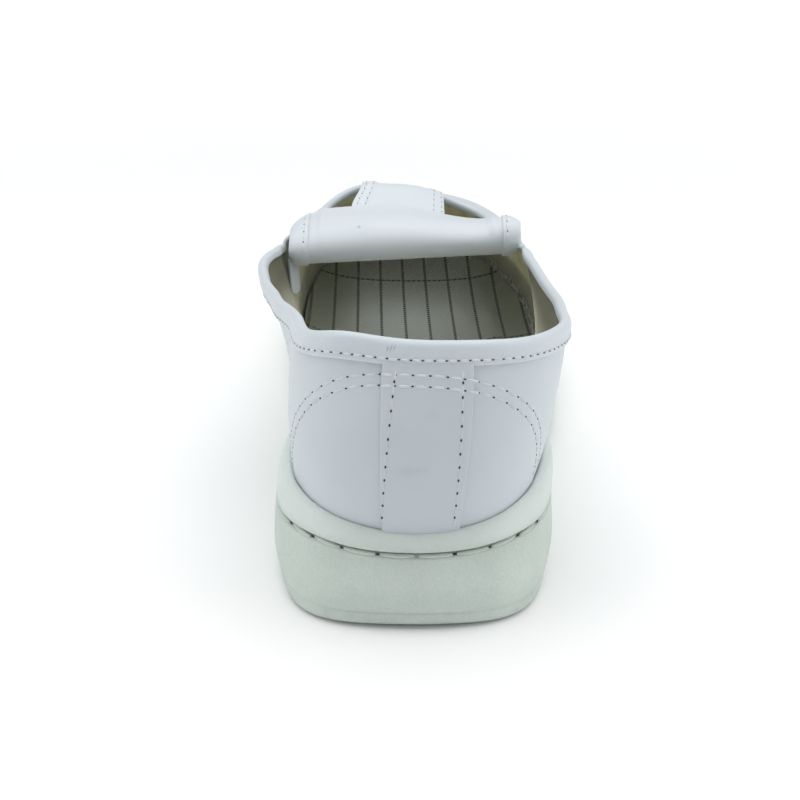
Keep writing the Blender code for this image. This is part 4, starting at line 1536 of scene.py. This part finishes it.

# %% [markdown]
# ## Sewing
#
# Thread shows as a row of small pads, each dipping into the leather at both ends, with needle holes
# between. Each hole is a thin dark disc on the leather, painted shade where a real hole would be. All
# stitches are one shape laid many times, so they become one joined mesh: the shape comes from a bmesh
# sphere, and arrays place it. Each row is a path with the way out of the leather.
# The thread in the sole's groove is thick and as pale as the foam, so it is a mesh of its own.

# %% Thread and needle holes
THREAD_COLOUR = (0.715, 0.755, 0.785)
THREAD_SHADE = (0.65, 0.70, 0.725)
THREAD_LOW = (0.60, 0.65, 0.69)
THREAD_HEIGHTS = (58.0, 64.0)
THREAD_LUMPS = 1.5
thread_finish = Finish("sewing_thread", {"Roughness": 0.6})
thread_place = thread_finish.place()
thread_lumps = thread_finish.noise(thread_place, THREAD_LUMPS)
thread_base = thread_finish.blend(thread_lumps, THREAD_COLOUR, THREAD_SHADE)
high_up = thread_finish.soft(thread_finish.axes(thread_place)[2], *THREAD_HEIGHTS)
thread_finish.wear({"Base Color": thread_finish.blend(high_up, THREAD_LOW, thread_base)})
# Painted shade: the needle holes are flat dark discs, not holes in the leather.
hole_shade_finish = mottled("needle_hole_shade", {"Roughness": 0.9}, lumps=1.0,
                      colour=(0.035, 0.037, 0.033), shade=(0.08, 0.082, 0.075))
print("thread and hole:", thread_finish.material.name, hole_shade_finish.material.name)

# %% One stitch, one hole
PAD_SIDES = 6
PAD_FULLNESS = 4.0
PAD_DIP = 1.6
HOLE_SIDES = 8
HOLE_DEPTH = 0.1


def shape_of(bm):
    """Corners and faces of a small shape that is laid many times."""
    bm.verts.index_update()
    corners = np.array([vert.co for vert in bm.verts])
    faces = [[vert.index for vert in face.verts] for face in bm.faces]
    bm.free()
    return corners, faces


def pad():
    """A thread's pad about one unit long, with its ends bent down."""
    bm = bmesh.new()
    bmesh.ops.create_uvsphere(bm, u_segments=PAD_SIDES, v_segments=PAD_SIDES, radius=0.5)
    for vert in bm.verts:
        x, y, z = vert.co
        fullness = math.sqrt(1 + PAD_FULLNESS * z * z)
        vert.co = z, -y * fullness, x * fullness - PAD_DIP * z * z
    return shape_of(bm)


def spot():
    """A thin round spot one unit across, with its upper face at 0."""
    bm = bmesh.new()
    sizes = {"segments": HOLE_SIDES, "radius1": 0.5, "radius2": 0.5, "depth": HOLE_DEPTH}
    bmesh.ops.create_cone(bm, cap_ends=True, **sizes)
    bmesh.ops.translate(bm, verts=bm.verts, vec=(0.0, 0.0, -HOLE_DEPTH / 2))
    return shape_of(bm)


stitch, hole_spot = pad(), spot()
print("one stitch has faces:", len(stitch[1]))

# %% Rows of stitches
# Columns: pitch, then length, width and height of the thread, then length and width of the hole.
SEWING = {
    "counter": (4.1, (2.9, 0.75, 0.5), (0.7, 0.42)),
    "stay": (3.5, (2.4, 0.62, 0.3), (0.8, 0.52)),
    "tape": (2.8, (1.9, 0.7, 0.45), (0.65, 0.38)),
    "side seam": (3.2, (2.0, 0.7, 0.42), (0.8, 0.5)),
    "strip side": (2.9, (1.9, 0.6, 0.35), (0.5, 0.36)),
    "strip end": (2.9, (1.8, 0.65, 0.4), (0.8, 0.5)),
    "tab": (4.0, (2.6, 0.6, 0.35), (0.6, 0.4)),
    "groove": (9.6, (9.3, 1.25, 1.3), (1.3, 0.75)),
}
HOLE_OVER = 0.06
stitch_frames, groove_frames, hole_frames = [], [], []


def frames_along(path, facing, pitch, shift):
    """Places, and the ways along, across and out, a pitch apart on a path."""
    runs = runs_of(path)
    count = max(int(round(runs[-1] / pitch)), 1)
    places = (np.arange(count) + 0.5 + shift) * runs[-1] / count
    places = places[places < runs[-1]]
    out = unit(at_runs(places, runs, facing))
    along = at_runs(places, runs, np.gradient(path, runs, axis=0))
    across = unit(np.cross(out, along))
    return zip(at_runs(places, runs, path), np.cross(across, out), across, out)


def sew(kind, path, facing, frames=stitch_frames, lift=0.0):
    """A row of stitches of one kind, with a dark disc of painted shade for a needle hole between each two.
    """
    pitch, thread, hole = SEWING[kind]
    for at, along, across, out in frames_along(path, facing, pitch, 0.0):
        frames.append((at + lift * out, along * thread[0], across * thread[1], out * thread[2]))
    for at, along, across, out in frames_along(path, facing, pitch, 0.5):
        hole_frames.append((at + (lift + HOLE_OVER) * out, along * hole[0], across * hole[1], out))


def lay(name, shape, frames, finish):
    """One joined mesh of a shape laid at every frame."""
    corners, faces = shape
    places = np.array([row[0] for row in frames])
    axes = np.array([row[1:] for row in frames])
    points = world(places[:, None] + np.einsum("ci,fij->fcj", corners, axes)).reshape(-1, 3)
    starts = range(0, len(points), len(corners))
    all_faces = [[start + index for index in face] for start in starts for face in faces]
    mesh = bpy.data.meshes.new(name)
    mesh.from_pydata(points.tolist(), [], all_faces)
    dressed(name, mesh, (finish,))


print("kinds of rows:", len(SEWING))

# %% Rows on the heel
FINE = 60
ARC_FINE = 240
ARC_INSETS = ((0.0, 0.0), (0.1, 0.042))
ARC_ABOVE_RIM = 0.02
STAY_SLOPE = 0.02
STAY_FACE = STAY_OUT + STAY_THICK
STAY_ROWS_AT = ((-0.375, -0.25), (0.38, 0.35))
STAY_ROW_ABOVE_RIM = 0.01
STAY_ROW_TOP = 0.90
TAPE_FINE = 400
TAPE_ROW_ENDS = (-4.6, 4.6)
TAPE_ROW_BELOW = 4.1
TAPE_FACE = 1.1


def on_wall(station, rise, out):
    """A path on the wall or some way out of it, and the way that it faces."""
    point, normal, _ = wall_frame(station, rise)
    return point + np.broadcast_to(out, station.shape)[..., None] * normal, normal


def counter_arc(half_width, top):
    """A row over the counter from rim to rim."""
    across, up = squared_circle(np.linspace(math.pi, 0.0, ARC_FINE), COUNTER_ROUNDNESS)
    station, rise = COUNTER_MIDDLE + half_width * across, top * up
    above = rise > rim_rise(station) + ARC_ABOVE_RIM
    station, rise = station[above], rise[above]
    over_stay = 1 - soft_step(np.abs(station - STAY_MIDDLE), STAY_HALF, STAY_HALF + STAY_SLOPE)
    return on_wall(station, rise, STAY_FACE * over_stay)


for narrower, lower in ARC_INSETS:
    sew("counter", *counter_arc(COUNTER_HALF - narrower, COUNTER_TOP - lower))
row_places = np.linspace(0.0, 1.0, FINE)
for low_station, high_station in STAY_ROWS_AT:
    station = between(low_station, high_station, row_places)
    rise = between(rim_rise(station) + STAY_ROW_ABOVE_RIM, STAY_ROW_TOP, row_places)
    sew("stay", *on_wall(station, rise, STAY_FACE))
tape_stations = np.linspace(*TAPE_ROW_ENDS, TAPE_FINE)
sew("tape", *on_wall(tape_stations, 1 - TAPE_ROW_BELOW / rib_length(tape_stations), TAPE_FACE))
print("stitches so far:", len(stitch_frames))

# %% Rows on the sides, the strap and the tabs
SEAM_ROWS = (0.06, 0.16)
SEAM_ROW_PLACES = (0.02, 0.98)
SEAM_ROW_TOP = 0.9
STRIP_ROW_COLUMNS = (2, 5, STRIP_COLUMNS - 4, STRIP_COLUMNS - 1)
TAB_ROW_COLUMNS = {"tab_inner": TAB_COLUMNS - 2, "tab_outer": 2}
for side in (-1, 1):
    for behind in SEAM_ROWS:
        rise = np.linspace(*SEAM_ROW_PLACES, FINE)
        rise = between(rim_rise(side * seam_station(rise)), SEAM_ROW_TOP, rise)
        sew("side seam", *on_wall(side * (seam_station(rise) + behind), rise, 0.0))
strap_normals = face_normals(strap_points)
for column in STRIP_ROW_COLUMNS:
    along_side = WING_COLUMNS + column, slice(bar_rows - 1, None)
    sew("strip side", strap_points[along_side], strap_normals[along_side])
along_end = slice(WING_COLUMNS + 1, WING_COLUMNS + STRIP_COLUMNS), bar_rows + STRIP_ROWS - 1
sew("strip end", strap_points[along_end], strap_normals[along_end])
for name, column in TAB_ROW_COLUMNS.items():
    points, normals = tab_faces[name]
    sew("tab", points[column, HEM_ROWS:], normals[column, HEM_ROWS:])
print("stitches so far:", len(stitch_frames))

# %% Row in the sole's groove
GROOVE_FINE = 800
GROOVE_OUT = (2.9, 5.2)
GROOVE_LOW = 0.3
GROOVE_LIFT = 0.35
around = np.linspace(0, STATIONS, GROOVE_FINE)
thread_level = groove_height(foot(around)[:, 1]) - GROOVE_LOW
groove_path = beside_wall(around, thread_level, between(*GROOVE_OUT, flank(around)))
sew("groove", groove_path, outward(around), groove_frames, GROOVE_LIFT)
lay("sole_sewing", stitch, groove_frames, foam)
lay("sewing", stitch, stitch_frames, thread_finish)
lay("needle_hole_shades", hole_spot, hole_frames, hole_shade_finish)

# %% [markdown]
# ## Small things inside
#
# A short tab of tape comes down from the inner end of the bar to the lining. It stands off the wall
# at its upper end and turns its face to the heel. The cut edge of the insole cloth frays
# on the outer side, so a few white hairs stand up there. They are one thin cone, turned and
# stretched by its frame and laid many times with a seeded random lean and length.

# %% Lining tab
TAB_ROWS = 14
TAB_ACROSS = 6
LINING_TAB_Y = 116.5
LINING_TAB_WIDTH = 3.6
LINING_TAB_HEIGHTS = (49.0, 60.5)
LINING_TAB_END = 1.7
LINING_TAB_HALF = 1.9
LINING_TAB_STATION = 15.28
LINING_TAB_STATION_Y = 115.5
MM_PER_STATION = 24.0
LINING_TAB_OFF = 0.5
LINING_TAB_OFF_TOP = 1.8
LINING_TAB_TURNED = 2.0
LINING_TAB_THICK = 1.0
LINING_TAB_ROUND = 0.3
ahead, up = np.meshgrid(np.linspace(0, 1, TAB_ACROSS + 1), np.linspace(0, 1, TAB_ROWS + 1), indexing="ij")
from_axis = LINING_TAB_WIDTH * (ahead - 0.5)
round_end = LINING_TAB_END * (1 - np.sqrt(np.clip(1 - (from_axis / LINING_TAB_HALF) ** 2, 0, 1)))
up = up + round_end * (1 - up) / (LINING_TAB_HEIGHTS[1] - LINING_TAB_HEIGHTS[0])
tab_station = LINING_TAB_STATION - (LINING_TAB_Y + from_axis - LINING_TAB_STATION_Y) / MM_PER_STATION
tab_point = wall(tab_station, rise_at(tab_station, between(*LINING_TAB_HEIGHTS, up)))
off_wall = UPPER_WALL + LINING_TAB_OFF + LINING_TAB_OFF_TOP * up + LINING_TAB_TURNED * ahead
tab_bm = sheet(tab_point - off_wall[..., None] * outward(tab_station))
lining_tab = piece("lining_tab", tab_bm, (binding_leather,))
thicken(lining_tab, LINING_TAB_THICK, -1)
round_off(lining_tab, LINING_TAB_ROUND)

# %% Frayed edge
HAIRS = 190
HAIR_STATIONS = (4.4, 8.6)
HAIR_WIDTH = 0.46
HAIR_LENGTHS = (1.6, 5.0)
HAIR_LEAN = 0.6
HAIR_UP = (0.4, 1.0)
HAIR_INWARDS = (0.0, 0.4)
SKEW = 0.01
rng = np.random.default_rng(7)
hair_finish = mottled("cotton_hair", {"Roughness": 0.8, "Sheen Weight": 0.4}, lumps=1.5,
                      colour=(0.95, 0.96, 0.95), shade=(0.86, 0.87, 0.85))
hair_frames = []
for station in np.sort(rng.uniform(*HAIR_STATIONS, HAIRS)):
    root = cloth_edge(np.array(station))
    away = outward(np.array(station))
    along = unit(foot(np.array(station + NUDGE)) - foot(np.array(station - NUDGE)))
    lean = rng.normal(0.0, HAIR_LEAN)
    way = unit(UPWARDS * rng.uniform(*HAIR_UP) - away * rng.uniform(*HAIR_INWARDS) + along * lean)
    length = rng.uniform(*HAIR_LENGTHS)
    across = unit(np.cross(way, along + SKEW * away))
    sideways = np.cross(way, across)
    middle_of_hair = root + 0.5 * length * way
    hair_frames.append((middle_of_hair, across * HAIR_WIDTH, sideways * HAIR_WIDTH, way * length))
hair = bmesh.new()
bmesh.ops.create_cone(hair, cap_ends=True, segments=5, radius1=0.5, radius2=0.25, depth=1.0)
lay("frayed_hairs", shape_of(hair), hair_frames, hair_finish)
